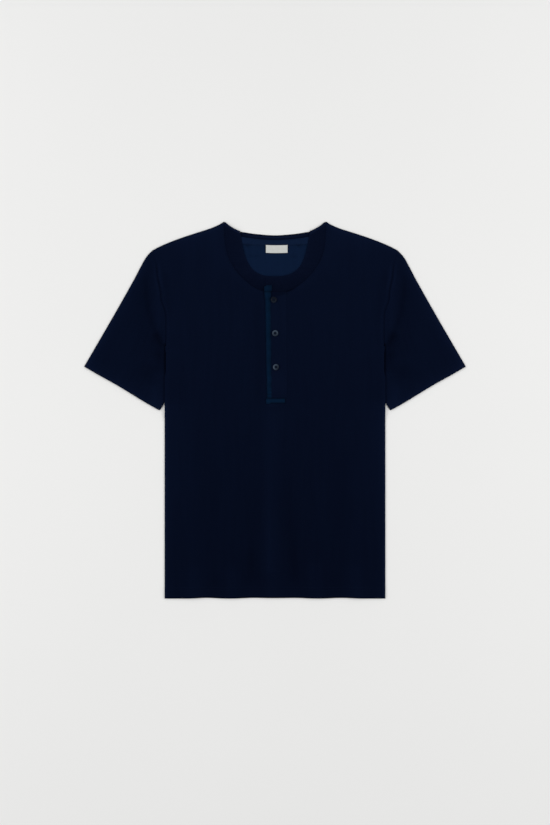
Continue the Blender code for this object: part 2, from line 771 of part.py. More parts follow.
def make_placket_tape(material, parent):
    """The tape down the placket's free edge, climbing onto the end of the neckband."""
    climb = FRONT_Z + BAND_LAP_RISE + CLOTH + BAND_CROWN + GAP - PLACKET_Z
    rows = []
    for row in TAPE_ROWS:
        shift = max(0.0, lean(row.y))
        places = places_across((row.left + shift, row.y), (row.right + shift, row.y))
        rows.append((places, PLACKET_Z + climb * row.climb))
    return add_object("placket_tape", strip_mesh(rows, TRIM_CLOTH, 0.2), material, parent)


def make_placket_bar(material, parent):
    """The tape across the foot of the placket."""
    rows = [(places_across((BAR_X[0], y), (BAR_X[1], y)), PLACKET_Z) for y in BAR_Y]
    return add_object("placket_bar", strip_mesh(rows, CLOTH, 0.2), material, parent)


def make_neck_tape(material, parent):
    """The tape over the back neck seam, its ends under the neckband."""
    rows = []
    for number in range(NECK_TAPE_STEPS + 1):
        x = NECK_TAPE_HALF_LENGTH * (2 * number / NECK_TAPE_STEPS - 1)
        middle = NECK_TAPE_Y + NECK_TAPE_SAG * x * x
        upper, lower = middle + NECK_TAPE_HALF_WIDTH, middle - NECK_TAPE_HALF_WIDTH
        rows.append((places_across((x, upper), (x, lower)), FRONT_Z))
    return add_object("neck_tape", strip_mesh(rows, TRIM_CLOTH, 0.15), material, parent)


def make_label(material, parent):
    """The bare label, its top on the neck tape and its foot on the back."""
    rows = []
    for row in LABEL_ROWS:
        places = places_across((LABEL_X[0], row.y), (LABEL_X[1], row.y))
        rows.append((places, FRONT_Z + (TRIM_CLOTH + GAP) * row.climb))
    return add_object("label", strip_mesh(rows, TRIM_CLOTH, 0.1), material, parent)


def make_buttons(material, parent):
    """Three turned buttons with a raised rim, on the over placket."""
    mesh = bmesh.new()
    profile = [mesh.verts.new((ring.radius * MM, 0.0, ring.z * MM)) for ring in BUTTON_RINGS]
    edges = [mesh.edges.new(pair) for pair in zip(profile, profile[1:])]
    bmesh.ops.spin(
        mesh,
        geom=profile + edges,
        cent=(0.0, 0.0, 0.0),
        axis=(0.0, 0.0, 1.0),
        angle=math.tau,
        steps=BUTTON_SIDES,
        use_merge=True,
    )
    bmesh.ops.remove_doubles(mesh, verts=mesh.verts, dist=1e-6)
    bmesh.ops.recalc_face_normals(mesh, faces=mesh.faces)
    first = add_object(BUTTONS[0].place, mesh, material, parent)
    pieces = [first]
    for station in BUTTONS[1:]:
        copy = bpy.data.objects.new(station.place, first.data)
        copy.parent = parent
        bpy.context.scene.collection.objects.link(copy)
        pieces.append(copy)
    for piece, station in zip(pieces, BUTTONS):
        height = PLACKET_Z + PLACKET_CLOTH + GAP
        piece.matrix_local = Matrix.Translation(Vector((station.x, station.y, height)) * MM)
    return pieces


def clear_scene():
    """Removes whatever the scene holds."""
    for old in list(bpy.data.objects):
        bpy.data.objects.remove(old, do_unlink=True)


def main():
    """Builds the shirt, each piece under one empty."""
    clear_scene()
    shirt = bpy.data.objects.new("shirt", None)
    bpy.context.scene.collection.objects.link(shirt)
    navy = finish("navy_jersey", NAVY, 0.9)
    inside = finish("navy_jersey_inside", NAVY_INSIDE, 0.9)
    rib = finish("navy_rib", NAVY_BAND, 0.92)
    tape = finish("blue_tape", TAPE_BLUE, 0.6)
    make_back(inside, shirt)
    make_front(navy, shirt)
    make_sleeve("sleeve_left", 1, navy, shirt)
    make_sleeve("sleeve_right", -1, navy, shirt)
    make_neckband(rib, shirt)
    make_under_placket(navy, shirt)
    make_over_placket(navy, shirt)
    make_placket_tape(tape, shirt)
    make_placket_bar(tape, shirt)
    make_neck_tape(inside, shirt)
    make_label(finish("woven_label", LABEL_WHITE, 0.8), shirt)
    make_buttons(finish("button_polyester", BUTTON_GREY, 0.35), shirt)


main()
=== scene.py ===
"""A short-sleeved henley shirt in dark navy jersey, laid flat with its front up.

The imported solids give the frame. Each piece of cloth is drawn again here as a thin, finely gridded shell
on its solid's form, with its soft folds, seams, ribs and stitching. Lengths are in millimetres and become
metres where a mesh is made. X runs towards the wearer's left, Y up to the neck and Z up from the surface.
"""

import logging
import math
from dataclasses import dataclass, field
from enum import Enum
from typing import Callable, Iterable, NamedTuple, Optional, Sequence

import bpy
import numpy as np
from mathutils import Matrix, Vector
from mathutils.bvhtree import BVHTree

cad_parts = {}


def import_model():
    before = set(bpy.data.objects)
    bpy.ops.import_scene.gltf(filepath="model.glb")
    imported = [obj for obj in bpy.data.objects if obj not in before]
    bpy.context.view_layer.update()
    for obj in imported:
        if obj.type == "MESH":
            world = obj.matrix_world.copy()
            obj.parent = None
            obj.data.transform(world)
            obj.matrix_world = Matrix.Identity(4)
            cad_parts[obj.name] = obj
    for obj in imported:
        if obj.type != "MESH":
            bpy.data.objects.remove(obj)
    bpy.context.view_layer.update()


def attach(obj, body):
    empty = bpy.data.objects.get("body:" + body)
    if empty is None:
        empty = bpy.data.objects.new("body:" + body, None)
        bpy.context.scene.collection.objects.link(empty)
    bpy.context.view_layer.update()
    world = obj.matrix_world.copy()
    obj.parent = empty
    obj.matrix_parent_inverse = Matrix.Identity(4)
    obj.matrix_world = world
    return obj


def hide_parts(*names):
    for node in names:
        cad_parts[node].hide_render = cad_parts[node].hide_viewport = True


Array = np.ndarray
Pair = tuple[float, float]
Triple = tuple[float, float, float]
Piece = bpy.types.Object
Tree = bpy.types.NodeTree
Socket = bpy.types.NodeSocket

LOG = logging.getLogger("henley")
MM = 0.001
BODY = "root"

# Cloth levels, as the solids have them.
CLOTH = 1.2
PLACKET_CLOTH = 1.4
TRIM_CLOTH = 1.0
GAP = 0.3
LAYER = CLOTH + GAP
FRONT_Z = LAYER
PLACKET_Z = 2 * LAYER
TUCK_LIFT = 2 * LAYER

# The jersey itself: thinner than the solid's wall, and how far a sewn edge reaches into its neighbour.
JERSEY = 1.0
SEAM_LAP = 0.5

# Body.
HALF_CHEST = 208.4
HEM_Y = -355.1
UNDERARM_Y = 125.7
HEM_DEPTH = 21.7
NECK_POINT = np.array((96.1, 355.1))
ARMHOLE_TOP = np.array((231.5, 300.6))
SLIT_X = (-12.0, 16.0)
SLIT_Y = 28.0
TUCK_FULL_Y = (4.0, 108.0)
TUCK_NONE_Y = (-26.0, 124.0)
TUCK_X = (158.0, 190.0)
# Where the neck seam begins, and where the armhole's seam is lost in the shoulder.
NECK_FOOT_Y = 216.0
SEAM_LOST_Y = 284.0


class Station(NamedTuple):
    """A named place that a line passes through."""

    place: str
    x: float
    y: float


def stations(*rows: tuple[str, float, float]) -> tuple[Station, ...]:
    """The stations of a line, in order."""
    return tuple(Station(*row) for row in rows)


SHOULDER = stations(
    ("neck point", 96.1, 355.1),
    ("beside the band", 104.8, 349.6),
    ("inner shoulder", 121.4, 342.4),
    ("middle", 156.5, 331.1),
    ("outer shoulder", 189.4, 319.7),
    ("before the sleeve", 216.6, 308.4),
    ("armhole", 231.5, 300.6),
)
ARMHOLE = stations(
    ("underarm", 207.4, 125.7),
    ("lower chest", 207.3, 146.0),
    ("beside the puff", 207.3, 176.0),
    ("going out", 208.8, 187.5),
    ("chest", 212.9, 198.0),
    ("above the chest", 216.0, 207.0),
    ("upper chest", 217.0, 221.0),
    ("below the shoulder", 219.3, 235.0),
    ("near the shoulder", 222.7, 250.0),
    ("by the shoulder", 224.6, 275.0),
    ("shoulder", 231.5, 300.6),
)
SLEEVE_TOP = stations(
    ("armhole", 231.8, 300.5),
    ("shoulder round", 241.7, 290.0),
    ("below the round", 249.0, 278.5),
    ("upper arm", 266.8, 244.7),
    ("middle", 305.1, 176.8),
    ("cuff tip", 360.6, 81.2),
)
SLEEVE_UNDER = stations(
    ("underarm", 208.8, 125.7),
    ("before the tuck", 209.3, 109.0),
    ("going under", 203.0, 87.0),
    ("deepest", 198.0, 60.0),
    ("coming out", 200.5, 34.0),
    ("body edge", 208.9, 12.5),
    ("cuff corner", 217.7, -1.6),
)
CUFF = stations(
    ("cuff corner", 217.7, -1.6),
    ("beside the corner", 226.5, 2.9),
    ("inner cuff", 245.4, 13.7),
    ("middle", 273.7, 31.0),
    ("outer cuff", 302.0, 48.0),
    ("before the tip", 330.4, 63.7),
    ("cuff tip", 360.6, 81.2),
)
NECK_SEAM = stations(
    ("centre", 0.0, 222.0),
    ("by the placket", 26.4, 225.2),
    ("low side", 47.5, 237.5),
    ("side", 68.7, 257.9),
    ("high side", 84.2, 281.5),
    ("below the shoulder", 92.3, 306.0),
    ("under the fold", 95.6, 332.0),
    ("neck point", 96.1, 355.1),
)
BAND_EDGE = stations(
    ("centre", 0.0, 251.7),
    ("low", 17.0, 252.6),
    ("low side", 32.7, 257.9),
    ("side", 45.9, 269.2),
    ("high side", 55.2, 287.0),
    ("below the fold", 61.0, 307.0),
    ("fold", 65.0, 337.0),
)
BACK_SEAM = stations(
    ("centre", 0.0, 314.5),
    ("middle", 35.0, 316.0),
    ("side", 60.0, 320.0),
    ("high side", 79.0, 328.5),
    ("under the fold", 91.0, 341.0),
    ("neck point", 96.1, 355.1),
)
BACK_EDGE = stations(
    ("centre", 0.0, 329.1),
    ("middle", 35.7, 331.6),
    ("side", 56.6, 334.7),
    ("fold", 65.0, 337.0),
)


@dataclass(frozen=True)
class Fold:
    """A soft ridge, or a trough where its height is negative, along a bowed line.

    The same shape gives painted light and shade: there its height is the share by which the cloth is
    painted lighter or darker.
    fade gives the lengths over which it dies away at its start and its end.
    """

    place: str
    start: Pair
    end: Pair
    half_width: float
    height: float
    bow: float = 0.0
    fade: Pair = (0.0, 0.0)

    def height_at(self, x: Array, y: Array) -> Array:
        """How high the fold stands at each point.

        Args:
            x: The points' places across the shirt.
            y: Their places along it.

        Returns:
            The height at each point, in millimetres.
        """
        run = np.subtract(self.end, self.start)
        length = float(np.hypot(*run))
        run = run / length
        east, north = x - self.start[0], y - self.start[1]
        along = np.clip(east * run[0] + north * run[1], 0.0, length)
        share = along / length
        bowed = self.bow * 4.0 * share * (1.0 - share)
        across = north - along * run[1] - bowed * run[0], east - along * run[0] + bowed * run[1]
        profile = np.exp(-(across[0] ** 2 + across[1] ** 2) / self.half_width**2)
        if self.fade[0]:
            profile = profile * smooth(along / self.fade[0])
        if self.fade[1]:
            profile = profile * smooth((length - along) / self.fade[1])
        return self.height * profile


# The largest folds of the front, as its solid has them.
FRONT_FOLDS = (
    Fold("centre ridge", (-9, -12), (-11, -300), 11, 1.5),
    Fold("hem, outer right side", (-151, -312), (-153, -360), 17, 1.4),
    Fold("hem, inner right side", (-81, -312), (-79, -360), 15, 1.1),
    Fold("hem, middle", (2, -322), (0, -360), 14, 0.9),
    Fold("hem, inner left side", (74, -300), (78, -360), 15, 1),
    Fold("hem, outer left side", (152, -306), (154, -360), 16, 1.5),
    Fold("right of the neck", (-113, 325), (-104, 262), 12, 0.7),
    Fold("left of the neck", (113, 325), (104, 262), 12, 0.7),
)
# Shallow folds too fine for the solid.
FRONT_RIPPLES = (
    Fold("trough right of the ridge", (-40, -95), (-46, -338), 15, -0.45, 3, (90, 20)),
    Fold("trough left of the ridge", (24, -85), (40, -336), 14, -0.45, -3, (80, 20)),
    Fold("hollow, right", (-45, -262), (-45, -306), 9, -0.25, 0, (16, 16)),
    Fold("hollow, left", (37, -258), (38, -304), 9, -0.25, 0, (16, 16)),
    Fold("hem trough, right", (-115, -300), (-115, -350), 13, -0.4, 0, (30, 0)),
    Fold("hem trough, left", (113, -296), (113, -350), 12, -0.4, 0, (30, 0)),
    Fold("right of the placket", (-70, 196), (-74, 96), 8, 0.35, 2, (40, 45)),
    Fold("left of the placket", (64, 214), (70, 150), 7, 0.4, -2, (24, 30)),
    Fold("drag from the placket, left", (30, 12), (74, -22), 6, 0.4, 4, (20, 16)),
    Fold("drag from the placket, right", (-26, 2), (-72, -56), 7, 0.3, -5, (22, 24)),
    Fold("side, right", (-168, -70), (-160, -250), 15, 0.35, 6, (60, 70)),
    Fold("side, left", (166, -60), (158, -262), 15, 0.35, -6, (60, 70)),
    Fold("flank trough, right", (-128, -60), (-122, -240), 16, -0.3, 4, (60, 60)),
    Fold("flank trough, left", (126, -44), (118, -252), 16, -0.3, -4, (60, 60)),
    Fold("underarm drag, right", (-200, 118), (-150, 78), 7, 0.45, 5, (8, 34)),
    Fold("underarm drag, left", (200, 120), (146, 84), 7, 0.45, -5, (8, 34)),
    Fold("chest drag, right", (-204, 150), (-160, 140), 6, 0.3, 3, (8, 26)),
    Fold("chest drag, left", (206, 156), (166, 142), 6, 0.3, -3, (8, 26)),
    Fold("shoulder roll, right", (-206, 296), (-120, 322), 9, 0.3, 4, (20, 30)),
    Fold("shoulder roll, left", (206, 296), (120, 322), 9, 0.3, -4, (20, 30)),
    Fold("belly, right", (-96, -120), (-88, -282), 12, 0.25, -5, (50, 50)),
    Fold("belly, left", (84, -104), (92, -276), 12, 0.25, 5, (50, 50)),
)
FRONT_RELIEF = FRONT_FOLDS + FRONT_RIPPLES
# Painted light and shade on the front, beyond what its folds make: shade in hollows and by seams, light on
# ridges.
FRONT_PAINTED_SHADING = (
    Fold("right of the placket", (-31, 205), (-31, 2), 8, -0.07, 0, (10, 30)),
    Fold("inside the armhole, right", (-203, 262), (-198, 160), 9, -0.06, 0, (14, 30)),
    Fold("inside the armhole, left", (203, 262), (198, 160), 9, -0.06, 0, (14, 30)),
    Fold("beside the seam, right", (-208, 268), (-208, 226), 3.5, -0.08, 0, (8, 8)),
    Fold("beside the seam, left", (208, 268), (208, 226), 3.5, -0.08, 0, (8, 8)),
    Fold("foot of the ridge, right", (-42, -250), (-44, -330), 12, -0.05, 0, (30, 20)),
    Fold("foot of the ridge, left", (22, -120), (38, -330), 12, -0.05, 0, (90, 20)),
    Fold("lower ridge", (-9, -180), (-9, -345), 9, 0.11, 0, (70, 0)),
    Fold("end of the tape below the bar", (-12.5, 12), (-12.5, 2), 4, 0.22, 0, (0, 6)),
    Fold("below the bar", (4, 6), (4, -60), 26, 0.05, 0, (6, 40)),
    Fold("shoulder, right", (-112, 330), (-186, 304), 22, 0.07, 0, (0, 20)),
    Fold("shoulder, left", (112, 330), (186, 304), 22, 0.07, 0, (0, 20)),
    Fold("flank, right", (-150, -200), (-146, -310), 14, 0.05, 0, (50, 40)),
    Fold("flank, left", (150, -200), (146, -310), 14, 0.05, 0, (50, 40)),
)
# The foot of the soft shadow below the neckband's lapped ends, from the right to the left.
BAND_SHADOW = ((-10.0, 211.8), (8.0, 212.6), (17.0, 215.2), (25.0, 218.5), (34.0, 223.5))
# The back lies on the surface, so its folds only lift it a little.
BACK_RIPPLES = (
    Fold("middle", (14, 40), (20, -260), 9, 0.3, 8, (60, 60)),
    Fold("right", (-120, -60), (-104, -300), 8, 0.3, -6, (60, 40)),
    Fold("left", (112, -90), (128, -320), 8, 0.3, 6, (60, 30)),
    Fold("shoulder blade, right", (-150, 250), (-96, 120), 9, 0.25, 8, (40, 50)),
    Fold("shoulder blade, left", (156, 244), (90, 130), 9, 0.25, -8, (40, 50)),
)
# Painted shade on its inside, seen through the neck: below the neck tape's edge and in soft folds below the
# tape.
BACK_PAINTED_SHADE = (
    Fold("edge of the neck tape, right", (-59, 310), (-46, 309.2), 2.4, -0.34, 0, (6, 6)),
    Fold("edge of the neck tape, left", (38, 309.4), (52, 310), 2.4, -0.34, 0, (6, 6)),
    Fold("below the neck tape, right", (-56, 290), (-24, 290), 3, -0.12, 0, (8, 8)),
    Fold("below the neck tape, left", (24, 290), (48, 290), 3, -0.12, 0, (8, 8)),
)
# The sleeve's folds, for the wearer's left. The other sleeve has them mirrored.
SLEEVE_FOLDS = (
    Fold("puff along the armhole", (225.5, 266), (217.5, 150), 6.8, 1.75, -1.5, (14, 10)),
    Fold("crease beside the puff", (243, 262), (210, 118), 4.2, -0.45, 12, (26, 6)),
    Fold("swell of the sleeve", (272, 190), (292, 96), 34, 1, 0),
    Fold("fold from the underarm", (222, 118), (262, 74), 7.5, 0.45, 6, (10, 30)),
    Fold("trough beside the body", (222, 104), (228, 28), 7, -0.35, -3, (20, 22)),
    Fold("lift at the cuff", (238, 34), (262, 60), 9, 0.4, 3, (12, 20)),
)
# Painted light and shade on the sleeve, for the wearer's left: shade in its creases and hollows, light at
# the inner cuff.
SLEEVE_PAINTED_SHADING = (
    Fold("beside the puff", (243, 262), (210, 118), 6, -0.12, 12, (24, 4)),
    Fold("armpit", (228, 152), (212, 118), 8, -0.13, 0, (14, 0)),
    Fold("hollow of the sleeve", (250, 244), (238, 84), 22, -0.06, 0, (30, 30)),
    Fold("lower hollow", (236, 96), (240, 50), 16, -0.12, 0, (20, 16)),
    Fold("hollow by the body", (217, 116), (217, 64), 12, -0.16, 0, (14, 16)),
    Fold("underarm", (228, 150), (215, 82), 10, -0.17, 0, (12, 26)),
    Fold("inner cuff", (233, 52), (226, 20), 12, 0.16, 0, (14, 0)),
)


class HemWave(NamedTuple):
    """A place where the hem is drawn up a little."""

    place: str
    x: float
    half_width: float
    height: float


HEM_WAVES = (
    HemWave("outer right side", -130.0, 22.0, 1.4),
    HemWave("inner right side", -43.0, 24.0, 1.4),
    HemWave("middle", 0.0, 30.0, 0.8),
    HemWave("inner left side", 40.0, 24.0, 1.1),
    HemWave("outer left side", 127.0, 26.0, 1.3),
)
# How far the hem hangs below the solid's between its waves.
HEM_SAG = 1.7


def smooth(value: Array) -> Array:
    """A step with level ends, from 0 where the value is 0 to 1 where it is 1."""
    share = np.clip(value, 0, 1)
    return share * share * (3 - 2 * share)


def rolled(distance: Array, reach: float) -> Array:
    """The height of a rounded edge, a quarter of an ellipse: 0 at the edge and 1 past its reach."""
    inside = 1 - np.clip(distance / reach, 0, 1)
    return np.sqrt(1 - inside * inside)


def peak(distance: Array, reach: float, at: float = 0.0) -> Array:
    """A soft bell that is 1 where the distance is at, and dies away over its reach to both sides."""
    return np.exp(-(((distance - at) / reach) ** 2))


def apart(places: Array, others: Array) -> Array:
    """How far each place is from the other one."""
    return np.linalg.norm(places - others, axis=-1)


def relief(folds: Iterable[Fold], x: Array, y: Array) -> Array:
    """The summed height of the folds at each point, in millimetres."""
    return sum(fold.height_at(x, y) for fold in folds)


class Roll(NamedTuple):
    """A rounded edge of cloth: how far it reaches in, and how far it drops."""

    reach: float
    depth: float

    def drop(self, distance: Array) -> Array:
        """How far the cloth has dropped at each distance from its edge."""
        return self.depth * (1 - rolled(distance, self.reach))


@dataclass(frozen=True)
class TurnedHem:
    """A turned-up edge of cloth: its depth, how far it stands off, and its sunken rows of stitches."""

    depth: float
    step: float
    slope: float
    groove: float
    groove_width: float
    rows: Pair

    def dents(self, distance: Array) -> Array:
        """How far the rows of stitches draw the cloth in, from 0 to 1, by the distance from its edge."""
        return sum(peak(distance, self.groove_width, row) for row in self.rows)

    def profile(self, distance: Array) -> Array:
        """How far it stands off the cloth, by the distance from its edge."""
        step = self.step * smooth((self.depth + self.slope - distance) / (2 * self.slope))
        return step - self.groove * self.dents(distance)


def mirrored(stations: Sequence[Station]) -> tuple[Station, ...]:
    """A whole outline from its half, which starts on the centre line."""
    other = [Station(s.place, -s.x, s.y) for s in reversed(stations[1:])]
    return (*other, *stations)


class Line:
    """A smooth line through stations, read by the share of its length."""

    STEPS = 20

    def __init__(self, stations: Sequence[Station]) -> None:
        """Draws the line.

        Args:
            stations: The places it passes, in order.
        """
        knots = np.array([(s.x, s.y) for s in stations])
        runs = self.lengths(knots)
        numbers = np.arange(len(knots))
        low, high = np.maximum(numbers - 1, 0), np.minimum(numbers + 1, len(knots) - 1)
        slopes = (knots[high] - knots[low]) / (runs[high] - runs[low])[:, None]
        t = (np.arange(1, self.STEPS + 1) / self.STEPS)[:, None]
        pieces = [knots[:1]]
        for i in range(len(knots) - 1):
            span = runs[i + 1] - runs[i]
            pieces.append(
                knots[i] * (2 * t**3 - 3 * t**2 + 1)
                + slopes[i] * span * (t**3 - 2 * t**2 + t)
                + knots[i + 1] * (3 * t**2 - 2 * t**3)
                + slopes[i + 1] * span * (t**3 - t**2)
            )
        self.points = np.vstack(pieces)
        self.runs = self.lengths(self.points)

    @staticmethod
    def lengths(points: Array) -> Array:
        """The length run at each point of a polyline."""
        steps = np.linalg.norm(np.diff(points, axis=0), axis=1)
        return np.concatenate([[0], np.cumsum(steps)])

    @property
    def length(self) -> float:
        """The whole length."""
        return float(self.runs[-1])

    def at(self, shares: Array) -> Array:
        """The points at shares of the length."""
        runs = np.clip(shares, 0, 1) * self.length
        return np.stack([np.interp(runs, self.runs, self.points[:, i]) for i in (0, 1)], axis=-1)

    def along(self, shares: Array) -> Array:
        """The unit directions in which the line runs."""
        step = 0.002
        run = self.at(np.asarray(shares) + step) - self.at(np.asarray(shares) - step)
        return run / np.linalg.norm(run, axis=-1, keepdims=True)

    def left_of(self, shares: Array) -> Array:
        """The unit directions square to the line, to the left of its run."""
        run = self.along(shares)
        return np.stack([-run[..., 1], run[..., 0]], axis=-1)

    def share_at_x(self, x: float) -> float:
        """The share at which the line, which runs towards +X, passes x."""
        return float(np.interp(x, self.points[:, 0], self.runs) / self.length)


SHOULDER_LINE = Line(SHOULDER)
ARMHOLE_LINE = Line(ARMHOLE)
SLEEVE_TOP_LINE = Line(SLEEVE_TOP)
SLEEVE_UNDER_LINE = Line(SLEEVE_UNDER)
NECK_SEAM_LINE = Line(mirrored(NECK_SEAM))
BAND_EDGE_LINE = Line(mirrored(BAND_EDGE))
BACK_SEAM_LINE = Line(mirrored(BACK_SEAM))
BACK_EDGE_LINE = Line(mirrored(BACK_EDGE))
CUFF_LINE = Line(CUFF)


def spread(start: float, *stretches: float) -> Array:
    """Grid lines over several stretches, each with its own spacing.

    Args:
        start: Where the first stretch starts.
        stretches: For each one about how far apart its lines lie, and then where it ends.

    Returns:
        All the places, in order, each once.
    """
    steps, ends = stretches[::2], stretches[1::2]
    runs = zip((start, *ends), ends, steps)
    places = [np.linspace(a, b, max(2, round(abs(b - a) / step) + 1)) for a, b, step in runs]
    return np.unique(np.round(np.concatenate(places), 4))


def edged(low: float, high: float, margin: float, fine: float, coarse: float) -> Array:
    """Grid lines from low to high, finely spaced within a margin of either end and coarsely between."""
    return spread(low, fine, low + margin, coarse, high - margin, fine, high)


def tuck_lift(x: Array, y: Array) -> Array:
    """How far the body's edge is raised by the sleeve tucked under it."""
    across = smooth((np.abs(x) - TUCK_X[0]) / (TUCK_X[1] - TUCK_X[0]))
    above = smooth((TUCK_NONE_Y[1] - y) / (TUCK_NONE_Y[1] - TUCK_FULL_Y[1]))
    below = smooth((y - TUCK_NONE_Y[0]) / (TUCK_FULL_Y[0] - TUCK_NONE_Y[0]))
    return TUCK_LIFT * across * above * below


def hem_wave(x: Array) -> Array:
    """How far the hem is drawn up at x, above the solid's hem."""
    return sum(wave.height * peak(x, wave.half_width, wave.x) for wave in HEM_WAVES) - HEM_SAG


def band_shade(x: Array, y: Array) -> Array:
    """How much darker the cloth is just below the neckband's lapped ends, as a negative share."""
    foot = np.interp(x, *np.transpose(BAND_SHADOW))
    return -0.3 * smooth((y - foot) / 3.5) * smooth((40 - x) / 8) * smooth((x + 20) / 4)


def deselect() -> None:
    """Leaves nothing selected, so that an operator acts on the new primitive alone."""
    if bpy.context.object and bpy.context.object.mode != "OBJECT":
        bpy.ops.object.mode_set(mode="OBJECT")
    bpy.ops.object.select_all(action="DESELECT")


def link_new(name: str, data: bpy.types.ID) -> Piece:
    """A new object of the scene that shows the data."""
    item = bpy.data.objects.new(name, data)
    bpy.context.scene.collection.objects.link(item)
    return item


def copies(beads: Sequence[Array], faces: Sequence[tuple[int, ...]]) -> tuple[Array, list]:
    """One mesh of a bead's copies: all their points, and the bead's faces numbered for each copy."""
    starts = range(0, len(beads) * len(beads[0]), len(beads[0]))
    return np.vstack(beads), [tuple(i + first for i in corners) for first in starts for corners in faces]


@dataclass
class Shell:
    """A thin cloth over one grid: its two faces, and a rim round every open edge.

    outer and inner hold (x, y, z) and flat holds (u, v), all in millimetres, by row and column. keep says
    which cells are cloth. A ring joins the last column to the first, and its flat has a column more. tone
    is the share by which the cloth is painted lighter or darker at each point: its painted light and shade.
    """

    outer: Array
    inner: Array
    flat: Array
    keep: Optional[Array] = None
    ring: bool = False
    tone: Optional[Array] = None

    @classmethod
    def over(cls, places: Array, outer: Array, inner: Array, **rest: object) -> "Shell":
        """A shell over places in plan, by the heights of its two faces."""
        return cls(np.dstack([places, outer]), np.dstack([places, inner]), places, **rest)

    def build(self, name: str, material: bpy.types.Material) -> Piece:
        """Makes the closed mesh, with its flat places as a UV map in metres.

        Args:
            name: The piece's name.
            material: What it is made of.

        Returns:
            The new object, with an attribute that is 1 on its inner face and one that holds its tone, the
            painted light and shade.
        """
        rows, columns = self.outer.shape[:2]
        spans = columns if self.ring else columns - 1
        keep = np.ones((rows - 1, spans), bool) if self.keep is None else self.keep
        row, column = np.nonzero(keep)
        loops = np.stack([row, row, row + 1, row + 1], 1), np.stack([column, column + 1] * 2, 1)
        across = loops[1][:, (0, 1, 3, 2)]
        ids = loops[0] * columns + across % columns
        places = loops[0] * self.flat.shape[1] + across
        sheet = rows * columns
        rims, rim_places = self.rims(keep, ids, places, row, column, sheet)
        faces = np.vstack([ids, ids[:, ::-1] + sheet, rims])
        flat_ids = np.vstack([places, places[:, ::-1], rim_places])
        points = np.vstack([self.outer.reshape(-1, 3), self.inner.reshape(-1, 3)]) * MM
        used, new_ids = np.unique(faces, return_inverse=True)
        data = bpy.data.meshes.new(name)
        data.from_pydata(points[used].tolist(), [], new_ids.reshape(faces.shape).tolist())
        if self.signed_volume(points, faces) < 0:
            data.flip_normals()
            flat_ids = flat_ids[:, (0, 3, 2, 1)]
        layer = data.uv_layers.new(name="cut")
        layer.data.foreach_set("uv", (self.flat.reshape(-1, 2)[flat_ids] * MM).ravel())
        tone = np.zeros((rows, columns)) if self.tone is None else self.tone
        tones = np.tile(tone.ravel(), 2)[used]
        for label, values in (("inside", used >= sheet), ("tone", tones)):
            attribute = data.attributes.new(label, "FLOAT", "POINT")
            attribute.data.foreach_set("value", values.astype(np.float32))
        data.shade_smooth()
        data.materials.append(material)
        return link_new(name, data)

    def rims(
        self, keep: Array, ids: Array, places: Array, row: Array, column: Array, sheet: int
    ) -> tuple[Array, Array]:
        """The faces that close the open edges.

        Args:
            keep: Which cells are cloth.
            ids: Each kept cell's four points on the outer face.
            places: The same points' flat places.
            row: Each kept cell's row.
            column: Each kept cell's column.
            sheet: How many points one face has.

        Returns:
            The rim faces, and their flat places.
        """
        beside = np.pad(keep, 1)
        if self.ring:
            beside[:, 0], beside[:, -1] = beside[:, -2], beside[:, 1]
        rims, rim_places = [], []
        for edge, (down, right) in enumerate(((-1, 0), (0, 1), (1, 0), (0, -1))):
            open_cells = ~beside[row + 1 + down, column + 1 + right]
            first, second = ids[open_cells, edge], ids[open_cells, (edge + 1) % 4]
            rims.append(np.stack([second, first, first + sheet, second + sheet], 1))
            first, second = places[open_cells, edge], places[open_cells, (edge + 1) % 4]
            rim_places.append(np.stack([second, first, first, second], 1))
        return np.vstack(rims), np.vstack(rim_places)

    @staticmethod
    def signed_volume(points: Array, faces: Array) -> float:
        """The volume that the faces close in, negative where they point inwards."""
        a, b, c, d = (points[faces[:, i]] for i in range(4))
        halves = np.einsum("ij,ij->i", a, np.cross(b, c)) + np.einsum("ij,ij->i", a, np.cross(c, d))
        return float(halves.sum())


class Slot(Enum):
    """The solids' materials."""

    JERSEY = "navy_jersey"
    INSIDE = "navy_jersey_inside"
    RIB = "navy_rib"
    TAPE = "blue_tape"
    LABEL = "woven_label"
    BUTTON = "button_polyester"


def lay_sheet(
    piece: Piece,
    node: str,
    cut: Pair,
) -> None:
    """Reports a cloth to the frame: what it replaces, what it rides on and how it was cut.

    Args:
        piece: The cloth.
        node: The solid that it stands for.
        cut: The width and length it was cut to, in millimetres.
    """
    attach(piece, BODY)
    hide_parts(node)
    LOG.info("%s: cut %.0f x %.0f mm", piece.name, *cut)


def linear(code: str) -> tuple[float, float, float, float]:
    """An sRGB hex colour as linear red, green, blue and alpha."""
    parts = [int(code[i : i + 2], 16) / 255 for i in (0, 2, 4)]
    return (*[p / 12.92 if p <= 0.04045 else ((p + 0.055) / 1.055) ** 2.4 for p in parts], 1)


def add_node(
    tree: Tree, kind: str, inputs: Optional[dict] = None, out: int | str = 0, **settings: object
) -> Socket:
    """Adds one shader node with its settings and links.

    Args:
        tree: The material's node tree.
        kind: The node's type name, without the "ShaderNode" before it.
        inputs: For each input, by name or number, its value or the output that feeds it.
        out: Which output is wanted, by name or number.
        settings: The node's own properties.

    Returns:
        The wanted output.
    """
    node = tree.nodes.new(f"ShaderNode{kind}")
    for name, value in settings.items():
        setattr(node, name, value)
    for name, value in (inputs or {}).items():
        if isinstance(value, Socket):
            tree.links.new(value, node.inputs[name])
        else:
            node.inputs[name].default_value = value
    return node.outputs[out]


# The bands that a wave texture draws in one unit, at a scale of 1.
WAVE_BANDS = 3.2


